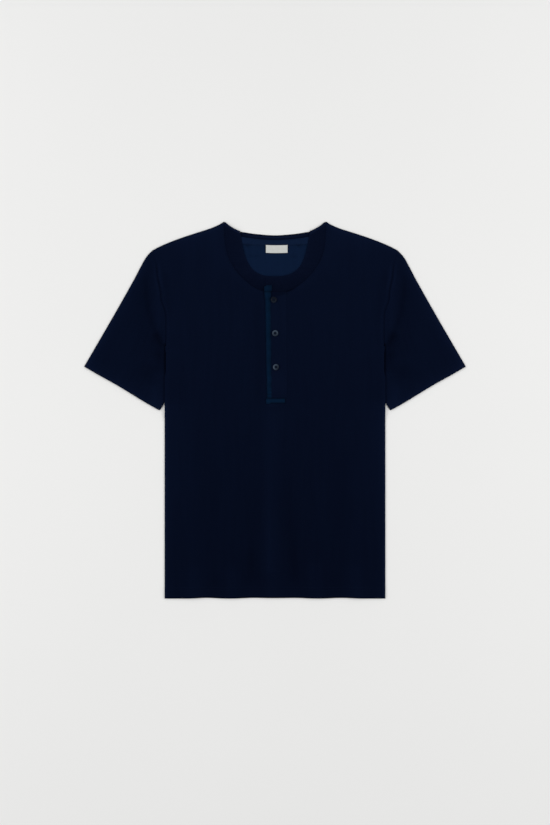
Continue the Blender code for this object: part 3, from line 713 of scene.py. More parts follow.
@dataclass(frozen=True)
class Finish:
    """What every material shares: a name, how rough and glossy it is, and how it is put together."""

    name: str
    roughness: float = 1.0
    gloss: float = 0.0

    def pattern(self, tree: Tree) -> tuple[Socket, Optional[Socket]]:
        """Adds the nodes that draw it, and gives the outputs of its colour and of its relief, if any."""
        raise NotImplementedError

    def sockets(self) -> dict[str, object]:
        """The shader's values that are the same all over."""
        return {"Roughness": self.roughness, "Specular IOR Level": self.gloss}

    def build(self) -> bpy.types.Material:
        """Makes the material."""
        material = bpy.data.materials.new(self.name)
        material.use_nodes = True
        tree = material.node_tree
        shader = tree.nodes["Principled BSDF"]
        for socket, output in zip(("Base Color", "Normal"), self.pattern(tree)):
            if output:
                tree.links.new(output, shader.inputs[socket])
        for socket, value in self.sockets().items():
            shader.inputs[socket].default_value = value
        return material


@dataclass(frozen=True)
class KnitFinish(Finish):
    """Cotton knit: matt, with a soft bluish bloom of loose fibre at grazing light."""

    roughness: float = 0.95
    gloss: float = 0.005
    colour: str = "070E20"
    inside: str = "0C1A32"
    bloom: str = "35507F"
    bloom_weight: float = 0.02
    bloom_roughness: float = 0.45
    # A stitch of fine jersey is about 0.8 mm wide. It is drawn at 1.3 mm, so that a close view shows it.
    wale: float = 1.3
    course: float = 1.0
    stitch_slant: float = 1.3
    stitch_depth: float = 0.12
    mottle: float = 0.03
    # How many streaks there are to a metre: about 9 mm wide and 110 mm long.
    streaks: Triple = (110.0, 9.0, 1.0)
    # How many specks of loose fibre there are to a metre, each about 1 mm across.
    fibres: float = 900.0

    def stitches(self, tree: Tree, place: Socket) -> Socket:
        """The height of the knit's V-shaped loops, from 0 to 1.

        Args:
            tree: The material's node tree.
            place: The place on the cloth, in metres.

        Returns:
            The output that holds the height.
        """
        per_metre = (1 / (self.wale * MM), 1 / (self.course * MM), 1)
        counted = add_node(tree, "VectorMath", {0: place, 1: per_metre}, operation="MULTIPLY")
        wales, courses = add_node(tree, "SeparateXYZ", {0: counted}).node.outputs[:2]
        leg = add_node(tree, "Math", {0: wales, 1: 0.5}, operation="PINGPONG")
        slant = add_node(tree, "Math", {0: leg, 1: self.stitch_slant, 2: courses}, operation="MULTIPLY_ADD")
        turned = add_node(tree, "Math", {0: slant, 1: math.tau}, operation="MULTIPLY")
        loop = add_node(tree, "Math", {0: turned}, operation="SINE")
        raised = add_node(tree, "Math", {0: loop, 1: 0.3, 2: 0.7}, operation="MULTIPLY_ADD")
        across = add_node(tree, "Math", {0: leg, 1: math.tau}, operation="MULTIPLY")
        crest = add_node(tree, "Math", {0: across}, operation="SINE")
        return add_node(tree, "Math", {0: crest, 1: raised}, operation="MULTIPLY")

    @staticmethod
    def spread_about_one(tree: Tree, noise: Socket, reach: float) -> Socket:
        """A noise, from 0 to 1, as a factor that departs from 1 by up to reach."""
        ends = {"From Min": 0.35, "From Max": 0.65, "To Min": 1 - reach, "To Max": 1 + reach}
        return add_node(tree, "MapRange", {"Value": noise, **ends})

    def pattern(self, tree: Tree) -> tuple[Socket, Socket]:
        """The yarn of either face, streaked and flecked, with painted light and shade and painted shade in
        the stitches' grooves, and the stitches as its relief.
        """
        place = add_node(tree, "TexCoord", out="UV")
        height = self.stitches(tree, place)
        side = add_node(tree, "Attribute", out="Fac", attribute_name="inside")
        faces = {"A": linear(self.colour), "B": linear(self.inside)}
        yarn = add_node(tree, "Mix", {"Factor": side, **faces}, "Result", data_type="RGBA")
        # The wales do not all take the dye alike, which leaves long faint streaks along the cloth.
        streaked = add_node(tree, "Mapping", {"Vector": place, "Scale": self.streaks})
        uneven = add_node(tree, "TexNoise", {"Vector": streaked, "Scale": 1, "Detail": 3})
        fibre = add_node(tree, "TexNoise", {"Vector": place, "Scale": self.fibres, "Detail": 2})
        shade = self.spread_about_one(tree, uneven, self.mottle)
        speck = self.spread_about_one(tree, fibre, 4 * self.mottle)
        # Painted light and shade: the tone attribute, and the stitches' grooves painted darker as shade.
        laid = add_node(tree, "Attribute", out="Fac", attribute_name="tone")
        painted_shading = add_node(tree, "Math", {0: laid, 1: 1}, operation="ADD")
        groove = add_node(tree, "Math", {0: height, 1: 0.35, 2: 0.85}, operation="MULTIPLY_ADD")
        for factor in (speck, painted_shading, groove):
            shade = add_node(tree, "Math", {0: shade, 1: factor}, operation="MULTIPLY")
        dyed = add_node(tree, "VectorMath", {0: yarn, "Scale": shade}, operation="SCALE")
        raised = {"Strength": 0.6, "Distance": self.stitch_depth * MM, "Height": height}
        return dyed, add_node(tree, "Bump", raised)

    def sockets(self) -> dict[str, object]:
        """The shader's values, with the bloom as its sheen."""
        sheen = {"Weight": self.bloom_weight, "Roughness": self.bloom_roughness, "Tint": linear(self.bloom)}
        return {**super().sockets(), **{f"Sheen {name}": value for name, value in sheen.items()}}


@dataclass(frozen=True)
class TapeFinish(Finish):
    """Woven twill tape: a fine diagonal rib and the slight lustre of its filling yarn."""

    roughness: float = 0.7
    gloss: float = 0.01
    colour: str = "041324"
    highlight: str = "061F3B"
    # Twill lines of such tape lie about 0.9 mm apart. They are drawn at 1.6 mm, so that a close view
    # shows them.
    rib: float = 1.6
    rib_depth: float = 0.12
    rib_angle: float = 32.0

    def pattern(self, tree: Tree) -> tuple[Socket, Socket]:
        """The two yarns, laid over each other in diagonal ribs, with painted light and shade."""
        place = add_node(tree, "TexCoord", out="UV")
        turn = (0, 0, math.radians(self.rib_angle))
        turned = add_node(tree, "Mapping", {"Vector": place, "Rotation": turn})
        ribs = {"Vector": turned, "Scale": 1 / (self.rib * MM * WAVE_BANDS), "Distortion": 0.6}
        twill = add_node(tree, "TexWave", ribs, "Fac")
        fibre = add_node(tree, "TexNoise", {"Vector": place, "Scale": 700, "Detail": 2})
        worn = add_node(tree, "Math", {0: twill, 1: fibre}, operation="MULTIPLY")
        yarns = {"A": linear(self.colour), "B": linear(self.highlight)}
        dyed = add_node(tree, "Mix", {"Factor": worn, **yarns}, "Result", data_type="RGBA")
        # Painted light and shade, from the tone attribute.
        laid = add_node(tree, "Attribute", out="Fac", attribute_name="tone")
        lit = add_node(tree, "Math", {0: laid, 1: 1}, operation="ADD")
        toned = add_node(tree, "VectorMath", {0: dyed, "Scale": lit}, operation="SCALE")
        raised = {"Strength": 0.5, "Distance": self.rib_depth * MM, "Height": twill}
        return toned, add_node(tree, "Bump", raised)


@dataclass(frozen=True)
class LabelFinish(Finish):
    """Satin-woven polyester label: off-white, with fine weft lines along it."""

    roughness: float = 0.65
    gloss: float = 0.3
    colour: str = "CDCFCB"
    shadow: str = "AEB0AE"
    # The weft of such a label lies about 0.2 mm apart. It is drawn at 1 mm, so that a close view shows it.
    weft: float = 1.0
    weft_depth: float = 0.1

    def pattern(self, tree: Tree) -> tuple[Socket, Socket]:
        """The weft lines, a little shaded and soiled."""
        place = add_node(tree, "TexCoord", out="UV")
        lines = {"Vector": place, "Scale": 1 / (self.weft * MM * WAVE_BANDS), "Distortion": 0.4}
        weft = add_node(tree, "TexWave", lines, "Fac", bands_direction="Y")
        soil = add_node(tree, "TexNoise", {"Vector": place, "Scale": 160, "Detail": 3})
        worn = add_node(tree, "Math", {0: weft, 1: soil}, operation="MULTIPLY")
        shades = {"A": linear(self.colour), "B": linear(self.shadow)}
        woven = add_node(tree, "Mix", {"Factor": worn, **shades}, "Result", data_type="RGBA")
        raised = {"Strength": 0.3, "Distance": self.weft_depth * MM, "Height": weft}
        return woven, add_node(tree, "Bump", raised)


@dataclass(frozen=True)
class ThreadFinish(Finish):
    """Spun polyester sewing thread: two plies twisted together, with a low sheen."""

    roughness: float = 0.6
    gloss: float = 0.02
    colour: str = "070E20"
    highlight: str = "0B162C"
    # A turn of the plies is about 0.3 mm long. It is drawn at 0.5 mm, so that a close view shows it.
    ply: float = 0.5

    def pattern(self, tree: Tree) -> tuple[Socket, None]:
        """The two plies, one a little lighter."""
        place = add_node(tree, "TexCoord", out="Object")
        turns = {"Vector": place, "Scale": 1 / (self.ply * MM * WAVE_BANDS), "Distortion": 1}
        twist = add_node(tree, "TexWave", turns, "Fac", bands_direction="DIAGONAL")
        plies = {"A": linear(self.colour), "B": linear(self.highlight)}
        return add_node(tree, "Mix", {"Factor": twist, **plies}, "Result", data_type="RGBA"), None


@dataclass(frozen=True)
class ButtonFinish(Finish):
    """Cast polyester, tumbled smooth: grey with a cloudy grain, and a clear soft gloss."""

    roughness: float = 0.4
    gloss: float = 0.1
    colour: str = "505F71"
    cloud: str = "343F4E"
    # The colour of the painted shade, in the dished middle and over each button's shaded side.
    hollow: str = "040C19"

    def pattern(self, tree: Tree) -> tuple[Socket, None]:
        """The cloudy grain, about 4 mm across, and the hollow colour: painted shade in its dished middle
        and on each button's shaded side.
        """
        place = add_node(tree, "TexCoord", out="Object")
        grain = {"Vector": place, "Scale": 240, "Detail": 4, "Distortion": 1.4}
        swirl = add_node(tree, "TexNoise", grain)
        greys = {"A": linear(self.colour), "B": linear(self.cloud)}
        cast = add_node(tree, "Mix", {"Factor": swirl, **greys}, "Result", data_type="RGBA")
        sunk = {"Factor": add_node(tree, "Attribute", out="Fac", attribute_name="hollow")}
        sunk |= {"A": cast, "B": linear(self.hollow)}
        return add_node(tree, "Mix", sunk, "Result", data_type="RGBA"), None


@dataclass(frozen=True)
class FloorFinish(Finish):
    """Matt white paper, with the faintest unevenness."""

    colour: str = "F0F0EF"
    shadow: str = "EDEDEC"

    def pattern(self, tree: Tree) -> tuple[Socket, None]:
        """Two whites, in clouds half a metre across."""
        place = add_node(tree, "TexCoord", out="Object")
        pulp = add_node(tree, "TexNoise", {"Vector": place, "Scale": 2})
        whites = {"A": linear(self.colour), "B": linear(self.shadow)}
        return add_node(tree, "Mix", {"Factor": pulp, **whites}, "Result", data_type="RGBA"), None


class Wardrobe:
    """The shirt's materials, each made once."""

    def __init__(self) -> None:
        """Makes them all."""
        self.jersey = KnitFinish("navy_cotton_jersey").build()
        # The rib's stitches are about 1 mm wide. They are drawn at 2.2 mm, so that a close view shows them.
        stretched = {"wale": 2.2, "course": 1.1, "mottle": 0.05}
        self.rib = KnitFinish("navy_cotton_rib", colour="070D1E", inside="070D1E", **stretched).build()
        self.lining = KnitFinish("navy_jersey_neck_tape", colour="0E1B33", inside="0E1B33").build()
        self.tape = TapeFinish("blue_twill_tape").build()
        self.label = LabelFinish("satin_label").build()
        self.thread = ThreadFinish("navy_polyester_thread").build()
        white = ThreadFinish("white_polyester_thread", colour="B4B6B2", highlight="D0D2CE")
        self.white_thread = white.build()
        self.button = ButtonFinish("cast_polyester_button").build()
        self.paper = FloorFinish("matt_white_paper").build()


class Face(Enum):
    """The face of a cloth that stitches show on, with the way down to it along Z."""

    UPPER = -1.0
    UNDER = 1.0


@dataclass
class Stitching:
    """Rows of machine stitches: each one a short raised bead of thread on the cloth."""

    thread: bpy.types.Material
    length: float = 2.5
    pitch: float = 3.1
    width: float = 0.5
    height: float = 0.45
    sunk: float = 0.1

    def one_stitch(self) -> tuple[Array, list[tuple[int, ...]]]:
        """Models one stitch, lying along X.

        Returns:
            Its points in millimetres, and its faces.
        """
        deselect()
        bpy.ops.mesh.primitive_uv_sphere_add(segments=6, ring_count=6, radius=0.5)
        bead = bpy.context.object
        bpy.ops.object.mode_set(mode="EDIT")
        bpy.ops.transform.rotate(value=math.pi / 2, orient_axis="Y", center_override=(0, 0, 0))
        bpy.ops.transform.resize(value=(self.length, self.width, self.height))
        bpy.ops.object.mode_set(mode="OBJECT")
        points = np.array([v.co[:] for v in bead.data.vertices])
        faces = [tuple(p.vertices) for p in bead.data.polygons]
        data = bead.data
        bpy.data.objects.remove(bead, do_unlink=True)
        bpy.data.meshes.remove(data)
        return points, faces

    def sew(
        self, name: str, lines: Sequence[Array], cloth: Piece, slot: Slot, face: Face = Face.UPPER
    ) -> Piece:
        """Lays stitches along lines on a cloth, wherever it lies under them.

        Args:
            name: The new piece's name.
            lines: The seams' lines in plan, in millimetres.
            cloth: The cloth that is sewn.
            slot: The solids' material that the piece goes with; it is not used.
            face: The face that the stitches show on.

        Returns:
            All the stitches as one piece.
        """
        points, faces = self.one_stitch()
        corners = [polygon.vertices for polygon in cloth.data.polygons]
        surface = BVHTree.FromPolygons([vertex.co for vertex in cloth.data.vertices], corners)
        toward = Vector((0, 0, face.value))
        beads = []
        for line in lines:
            runs = Line.lengths(line)
            count = max(1, int(runs[-1] / self.pitch))
            for run in (np.arange(count) + 0.5) * runs[-1] / count:
                tail, head = (
                    np.array([np.interp(run + half, runs, line[:, i]) for i in (0, 1)])
                    for half in (-self.length / 2, self.length / 2)
                )
                spot = (tail + head) / 2
                start = Vector((spot[0] * MM, spot[1] * MM, 0)) - toward * 0.1
                place, normal = surface.ray_cast(start, toward)[:2]
                if place is None:
                    continue
                if normal.dot(toward) > 0:
                    normal = -normal
                along = Vector((*(head - tail), 0))
                along = (along - normal * along.dot(normal)).normalized()
                frame = Matrix((along, normal.cross(along), normal)).transposed()
                laid = place / MM + normal * (self.height / 2 - self.sunk - self.height * 0.25)
                beads.append(points @ np.array(frame).T + np.array(laid))
        points, faces = copies(beads, faces)
        data = bpy.data.meshes.new(name)
        data.from_pydata((points * MM).tolist(), [], faces)
        data.shade_smooth()
        data.materials.append(self.thread)
        piece = link_new(name, data)
        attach(piece, BODY)
        LOG.info("%s: %d stitches", name, len(beads))
        return piece


@dataclass
class Workpiece:
    """A part of the shirt, with the materials and the stitching that it is made with."""

    wardrobe: Wardrobe
    stitching: Stitching


@dataclass
class Body(Workpiece):
    """The front and the back, joined at the sides and the shoulders."""

    spacing: float = 3.4
    side_roll: Roll = Roll(8.0, 1.0)
    seam_roll: Roll = Roll(3.2, 0.55)
    shoulder_roll: Roll = Roll(9.0, 0.95)
    hem_roll: Roll = Roll(2.4, 0.6)
    hem: TurnedHem = TurnedHem(HEM_DEPTH, 0.45, 1.2, 0.22, 1.1, (20.4, 15.2))
    neck_row: float = 2.6
    slit_share: float = 0.4
    slit_cells: int = 8
    # How far the side is drawn in over the sleeve's tuck, at the armpit and below it.
    drawn_in: Pair = (1.0, 2.4)
    # Painted light and shade on the front: how much lighter the crests are painted per millimetre, and the
    # painted shade down the belly and light up to the shoulders, with the heights between which each
    # changes.
    crest_painted_light: float = 0.1
    belly_painted_shade: Triple = (190.0, -300.0, -0.225)
    shoulder_painted_light: Triple = (215.0, 345.0, 0.1)
    cut: Pair = (463.0, 710.2)
    front_area: float = 266000.0
    back_area: float = 284000.0

    def outer_columns(self, inner_x: float) -> Array:
        """The grid lines from an inner place out to the side, close together at the side."""
        at_side = (1.6, HALF_CHEST - 2, 0.7, HALF_CHEST - 0.6, 0.2, HALF_CHEST)
        return spread(inner_x, self.spacing, HALF_CHEST - 10, *at_side)

    def low_rows(self) -> Array:
        """The grid lines from the hem up to the underarm, close together at the hem and its stitching."""
        step_y = HEM_Y + HEM_DEPTH
        at_hem = (HEM_Y, 0.2, HEM_Y + 0.6, 0.8, HEM_Y + 3, 2.4, step_y - 9, 1, step_y + 3)
        return spread(*at_hem, self.spacing, UNDERARM_Y)

    def fan_shares(self) -> Array:
        """The shares of the grid lines from the underarm up to the shoulder, without the underarm's."""
        return spread(0, 0.018, 0.95, 0.006, 0.99, 0.0016, 1)[1:]

    def half(self, side: int, inner_x: float, inner_end: Callable[[float], Array], top: Array) -> Array:
        """The grid of one half of a panel in plan.

        Args:
            side: 1 for the wearer's left, -1 for the right.
            inner_x: Where the half starts, as a distance from the centre line.
            inner_end: The inner end of a row above the underarm, by its share.
            top: How the top edge departs from a straight line, at each column.

        Returns:
            The places by row and column, from the inner end outwards.
        """
        columns = self.outer_columns(inner_x)
        shares = (columns - inner_x) / (HALF_CHEST - inner_x)
        high, low = self.drawn_in
        rows = []
        for y in self.low_rows():
            raised = hem_wave(side * columns) * (1 - smooth((y - HEM_Y) / HEM_DEPTH))
            inset = (high + (low - high) * smooth((118 - y) / 14)) * smooth((y - 58) / 16)
            inset = inset * smooth((columns - 184) / 22)
            rows.append(np.stack([side * (columns - inset), y + raised], axis=-1))
        for share in self.fan_shares():
            inner = inner_end(share)
            outer = ARMHOLE_LINE.at(share) * (side, 1)
            bend = top * (side, 1) * share**2
            rows.append(inner + (outer - inner) * shares[:, None] + bend)
        return np.array(rows)

    def edge_distances(self, places: Array) -> tuple[Array, Array, Array]:
        """How far each place of a half is from its outer, bottom and top edges."""
        return apart(places, places[:, -1:]), apart(places, places[:1]), apart(places, places[-1:])

    def roll_at_sides(self, distance: Array, y: Array) -> Array:
        """How far the outer edge is rolled down: softly at the side, tightly at the armhole's seam."""
        at_side = self.side_roll.drop(distance)
        at_seam = self.seam_roll.drop(distance) * (1 - 0.7 * smooth((y - 262) / 22))
        return at_side + (at_seam - at_side) * smooth((y - UNDERARM_Y) / 24)

    def thickness(self, *distances: Array) -> Array:
        """The cloth's thickness, thinning to a rounded rim at the given edges."""
        rim = np.minimum.reduce([rolled(distance, 0.6) for distance in distances])
        return JERSEY * (0.35 + 0.65 * rim)

    def tone_at(self, y: Array) -> Array:
        """How much lighter the cloth is painted at each height: painted shade down the belly, painted light
        at the shoulders.
        """
        (waist, hem, darker), (collar, top, lighter) = self.belly_painted_shade, self.shoulder_painted_light
        down = np.clip((y - waist) / (hem - waist), 0, 1)
        return darker * down + lighter * smooth((y - collar) / (top - collar))

    def tone(self, places: Array, outer: Array, above: Array, neck: Array) -> Array:
        """How much lighter or darker the front is painted at each place: its painted light and shade.

        Args:
            places: The places in plan.
            outer: How far each is from the side or the armhole.
            above: How far each is from the shoulder.
            neck: How far each is from the neck seam.

        Returns:
            The share by which each is lighter.
        """
        x, y = places[..., 0], places[..., 1]
        # Crests painted lighter and troughs darker, the front's listed painted light and shade, its painted
        # shading by height and the painted shadow below the band.
        tone = self.crest_painted_light * relief(FRONT_RELIEF, x, y) + relief(FRONT_PAINTED_SHADING, x, y)
        tone += self.tone_at(y) + band_shade(x, y)
        # The sides: painted highlight on their rolled edge, and on the swell of the body inside it.
        below_sleeve = smooth((26 - y) / 30)
        side = smooth((UNDERARM_Y + 8 - y) / 16)
        tone += below_sleeve * 0.45 * peak(outer, 1.6, 2.2) + side * 0.07 * peak(outer, 9)
        swell = np.interp(y, (-190, -140), (0.55, 0.9)) * below_sleeve
        tone += swell * (0.1 * peak(outer, 13) + 0.15 * peak(outer, 46))
        # The hem: painted light where it is doubled, and painted shade where it turns under.
        hem = y - HEM_Y - hem_wave(x)
        tone += 0.015 * smooth((HEM_DEPTH + 1 - hem) / 2) + 0.12 * peak(hem, 6)
        tone -= 0.5 * peak(hem, 1.6, 0.8)
        # The armhole's seam: a line of painted shade with a painted highlight on the ridge beside it, both
        # lost at the shoulder.
        seam = (1 - side) * smooth((SEAM_LOST_Y - y) / 22)
        tone += seam * (0.06 + 0.14 * smooth((y - 222) / 16)) * peak(outer, 2.4, 5.4)
        tone += seam * (0.04 * peak(outer, 2.6, 5) - 0.28 * peak(outer, 2.6))
        # Painted light on the rolled shoulder, stronger towards the neck, and painted shade along the
        # neck's own seam with painted light beside it.
        at_shoulder = smooth((y - 290) / 16) * (0.34 - 0.12 * smooth((np.abs(x) - 150) / 40))
        at_neck = smooth((y - NECK_FOOT_Y) / 4) * smooth((above - 30) / 30)
        tone += at_shoulder * peak(above, 8.5)
        tone += at_neck * (0.07 * peak(neck, 9, 9) - 0.12 * peak(neck, 2.2))
        return tone

    def front_inner_end(self, side: int) -> Callable[[float], Array]:
        """The inner end of the front's rows above the underarm: up the slit, then round the neck."""
        start = NECK_SEAM_LINE.share_at_x(SLIT_X[1] if side > 0 else SLIT_X[0])
        end = 1 if side > 0 else 0
        corner = NECK_SEAM_LINE.at(start)

        def place(share: float) -> Array:
            """The row's inner end, by its share of the way from the underarm to the shoulder."""
            if share < self.slit_share:
                low = np.array((corner[0], UNDERARM_Y))
                return low + (corner - low) * share / self.slit_share
            part = (share - self.slit_share) / (1 - self.slit_share)
            return NECK_SEAM_LINE.at(start + (end - start) * part)

        return place

    def front_half(self, side: int) -> tuple[Array, Array, Array, Array]:
        """One half of the front.

        Args:
            side: 1 for the wearer's left, -1 for the right.

        Returns:
            Its outer points, its inner points, its places in plan and its tone, by row and column.
        """
        slit_x = SLIT_X[1] if side > 0 else -SLIT_X[0]
        columns = self.outer_columns(slit_x)
        shares = (columns - slit_x) / (HALF_CHEST - slit_x)
        top = SHOULDER_LINE.at(shares) - (NECK_POINT + (ARMHOLE_TOP - NECK_POINT) * shares[:, None])
        places = self.half(side, slit_x, self.front_inner_end(side), top)
        x, y = places[..., 0], places[..., 1]
        outer, bottom, above = self.edge_distances(places)
        rest = FRONT_Z + tuck_lift(x, y)
        level = CLOTH + rest + relief(FRONT_RELIEF, x, y) + self.hem.profile(y - HEM_Y - hem_wave(x))
        level -= self.roll_at_sides(outer, y) + self.hem_roll.drop(bottom) + self.shoulder_roll.drop(above)
        neck = apart(places, places[:, :1])
        level -= self.seam_roll.drop(neck) * smooth((y - NECK_FOOT_Y) / 4)
        low = np.maximum(level - self.thickness(outer, bottom, above), rest + 0.05)
        low = np.minimum(low, level - 0.25)
        far_away = 99
        tone = self.tone(places, outer, above, np.where(y > NECK_FOOT_Y, neck, far_away))
        return np.dstack([places, level]), np.dstack([places, low]), places, tone[..., None]

    def make_front(self) -> Piece:
        """The front panel, open down the middle for the placket."""
        left, right = self.front_half(1), self.front_half(-1)
        shares = np.linspace(0, 1, self.slit_cells + 1)[1:-1, None]
        joined = []
        for left_part, right_part in zip(left, right):
            inner_left, inner_right = left_part[:, None, 0], right_part[:, None, 0]
            between = inner_right + (inner_left - inner_right) * shares
            joined.append(np.concatenate([right_part[:, ::-1], between, left_part], axis=1))
        outer, inner, places, tone = joined
        keep = np.ones((outer.shape[0] - 1, outer.shape[1] - 1), bool)
        first = right[0].shape[1] - 1
        slit_row = int(np.searchsorted(self.low_rows(), SLIT_Y))
        keep[slit_row:, first : first + self.slit_cells] = False
        shell = Shell(outer, inner, places, keep, tone=tone[..., 0])
        return shell.build("front_cloth", self.wardrobe.jersey)

    def make_back(self) -> Piece:
        """The back panel, flat on the surface but where the sleeves are tucked under it."""
        neck_share = NECK_POINT[0] / ARMHOLE_TOP[0]
        centre_top = BACK_SEAM[0].y
        shares = self.outer_columns(0) / HALF_CHEST
        straight = np.array((0, centre_top)) * (1 - shares[:, None]) + ARMHOLE_TOP * shares[:, None]
        on_neck = BACK_SEAM_LINE.at(0.5 + 0.5 * shares / neck_share)
        on_shoulder = SHOULDER_LINE.at((shares - neck_share) / (1 - neck_share))
        top = np.where(shares[:, None] < neck_share, on_neck, on_shoulder) - straight

        def inner_end(share: float) -> Array:
            """The row's inner end, on the centre line."""
            return np.array((0, UNDERARM_Y + (centre_top - UNDERARM_Y) * share))

        left = self.half(1, 0, inner_end, top)
        places = np.concatenate([left[:, :0:-1] * (-1, 1), left], axis=1)
        x, y = places[..., 0], places[..., 1]
        halves = [self.edge_distances(half) for half in (left[:, 1:], left)]
        outer, bottom, above = (np.concatenate([a[:, ::-1], b], axis=1) for a, b in zip(*halves))
        rest = tuck_lift(x, y) + relief(BACK_RIPPLES, x, y)
        low = rest + 0.5 * self.roll_at_sides(outer, y) + 0.5 * self.hem_roll.drop(bottom)
        low += 0.5 * self.shoulder_roll.depth * (1 - rolled(above, 4)) * smooth((np.abs(x) - 96) / 6)
        low += 1.4 * self.hem.groove * self.hem.dents(y - HEM_Y - hem_wave(x))
        high = np.minimum(rest + CLOTH, low + 0.1 + self.thickness(outer, bottom, above))
        shell = Shell.over(places, low, high, tone=relief(BACK_PAINTED_SHADE, x, y))
        return shell.build("back_cloth", self.wardrobe.jersey)

    def hem_lines(self) -> list[Array]:
        """The two rows of hem stitching, in plan."""
        x = np.linspace(-HALF_CHEST + 1.5, HALF_CHEST - 1.5, 280)
        return [np.stack([x, HEM_Y + row + hem_wave(x)], axis=-1) for row in self.hem.rows]

    def neck_lines(self) -> list[Array]:
        """The stitching on the front beside the neck seam, each side of the placket."""
        sides = [np.linspace(*ends, 160) for ends in ((0.02, 0.47), (0.555, 0.98))]
        return [NECK_SEAM_LINE.at(s) - NECK_SEAM_LINE.left_of(s) * self.neck_row for s in sides]

    def make(self) -> None:
        """Builds, sews and reports the two panels."""
        front, back = self.make_front(), self.make_back()
        sew = self.stitching.sew
        front_hem = sew("stitch_front_hem", self.hem_lines(), front, Slot.JERSEY)
        back_hem = sew("stitch_back_hem", self.hem_lines(), back, Slot.JERSEY, Face.UNDER)
        neck = sew("stitch_neck_seam", self.neck_lines(), front, Slot.JERSEY)
        lay_sheet(front, "front", self.cut)
        lay_sheet(back, "back", self.cut)


@dataclass
class Sleeve(Workpiece):
    """One short sleeve: a flattened tube, its underarm tucked under the body's side."""

    side: int
    name: str
    top_roll: Roll = Roll(8.0, 0.7)
    seam_roll: Roll = Roll(4.0, 0.5)
    hem: TurnedHem = TurnedHem(20.5, 0.4, 1.5, 0.2, 1.3, (19.2, 14.0))
    underarm_lap: Pair = (2.6, 7.5)
    crest_painted_light: float = 0.05
    # How long it lies from the armhole to the cuff, and what it was cut to.
    length: float = 240.0
    cut: Pair = (360.0, 282.0)
    area: float = 51500.0
    sections: int = 78
    across: Array = field(default_factory=lambda: spread(0.02, 0.012, 0.08, 0.017, 0.92, 0.008, 0.98))

    def place(self, along: float, across: Array) -> Array:
        """Places on the sleeve in plan, between its four edges.

        Args:
            along: From the armhole at 0 to the cuff at 1.
            across: From the underarm edge at 0 to the top edge at 1.

        Returns:
            The places.
        """
        share = across[:, None]
        armhole = ARMHOLE_LINE.at(across) + ARMHOLE_LINE.left_of(across) * SEAM_LAP
        cuff = CUFF_LINE.at(across)
        under, top = SLEEVE_UNDER_LINE.at(along), SLEEVE_TOP_LINE.at(along)
        ruled = armhole + (cuff - armhole) * along + under + (top - under) * share
        low_start, high_start = SLEEVE_UNDER_LINE.at(0), SLEEVE_TOP_LINE.at(0)
        low = low_start + (CUFF_LINE.at(0) - low_start) * along
        high = high_start + (CUFF_LINE.at(1) - high_start) * along
        return ruled - (low + (high - low) * share)

    def fold(self, line: Line, along: float, away: int, radius: float, turns: Array) -> tuple[Array, Array]:
        """The sleeve's wall round one of its folded edges.

        Args:
            line: The edge in plan.
            along: From the armhole at 0 to the cuff at 1.
            away: 1 for the top edge, which turns to its line's left, -1 for the underarm's.
            radius: The fold's radius, on the middle of the wall.
            turns: How far round the fold each point lies, from 0 on the upper wall to pi on the lower.

        Returns:
            The points on the middle of the wall, and their directions outwards.
        """
        seam = ARMHOLE_LINE.along(max(0, away)) * away
        free = line.left_of(along) * away
        outwards = seam + (free - seam) * smooth(along / 0.06)
        outwards = outwards / np.linalg.norm(outwards)
        sine, cosine = np.sin(turns)[:, None], np.cos(turns)
        start, full = self.underarm_lap
        lap = (start + (full - start) * smooth(along / 0.06)) * (1 - smooth((along - 0.15) / 0.15))
        reach = lap if away < 0 else 0
        plan = line.at(along) + outwards * (radius * sine - radius - JERSEY / 2 + reach)
        points = np.column_stack([plan, JERSEY / 2 + radius + radius * cosine])
        return points, np.column_stack([outwards * sine, cosine])

    def rise(self, places: Array, along: float) -> Array:
        """How the upper wall's folds lift it, dying away at its edges."""
        across = self.across
        from_edges = smooth(across / 0.08) * smooth((1 - across) / 0.1)
        from_ends = smooth(along / 0.05) * (0.35 + 0.65 * smooth((1 - along) / 0.3))
        beside_body = smooth((places[:, 0] - HALF_CHEST - 1) / 9)
        return relief(SLEEVE_FOLDS, places[:, 0], places[:, 1]) * from_edges * from_ends * beside_body

    def cuff_distance(self, places: Array) -> Array:
        """How far each place is from the cuff's edge."""
        steps = places[:, None] - CUFF_LINE.points[None]
        return np.sqrt((steps**2).sum(axis=-1).min(axis=1))

    def tone(self, places: Array, from_top: Array, along: float) -> Array:
        """How much lighter or darker the upper wall is painted at each place: its painted light and shade.

        Args:
            places: The places in plan.
            from_top: How far each is from the sleeve's top edge.
            along: How far down the sleeve they lie, from 0 to 1.

        Returns:
            The share by which each is lighter.
        """
        x, y = places[:, 0], places[:, 1]
        # Crests painted lighter, the sleeve's listed painted light and shade, and a little darker away from
        # the body.
        tone = self.crest_painted_light * relief(SLEEVE_FOLDS, x, y) + relief(SLEEVE_PAINTED_SHADING, x, y)
        tone -= 0.085 * smooth((x - 222) / 22)
        # Painted highlight along the rolled top edge and the rolled cuff.
        from_seam = along * self.length
        at_top = 0.33 * peak(from_top, 5.2) + 0.18 * peak(from_top, 15)
        tone += at_top * (0.5 + 0.5 * smooth(from_seam / 30))
        cuff = self.cuff_distance(places)
        tone += 0.2 * peak(cuff, 5) + 0.19 * peak(cuff, 18)
        # The shadow of the body's side, which lies on the sleeve below the underarm.
        shadow = smooth((UNDERARM_Y + 2 - y) / 8) * smooth((y + 4) / 10)
        tone -= shadow * (0.22 + 0.28 * smooth((y - 60) / 16)) * peak(x - HALF_CHEST, 2.6, -1)
        # The armhole's seam: a line of painted shade, and a painted highlight on the ridge beside it
        # further up.
        seam = peak(from_seam, 2.8) * smooth((y - UNDERARM_Y) / 10) * smooth((SEAM_LOST_Y - y) / 22)
        ridge = peak(from_seam, 3.2, 6) * smooth((y - 180) / 40) * smooth((286 - y) / 20)
        return tone - 0.22 * seam + 0.17 * ridge

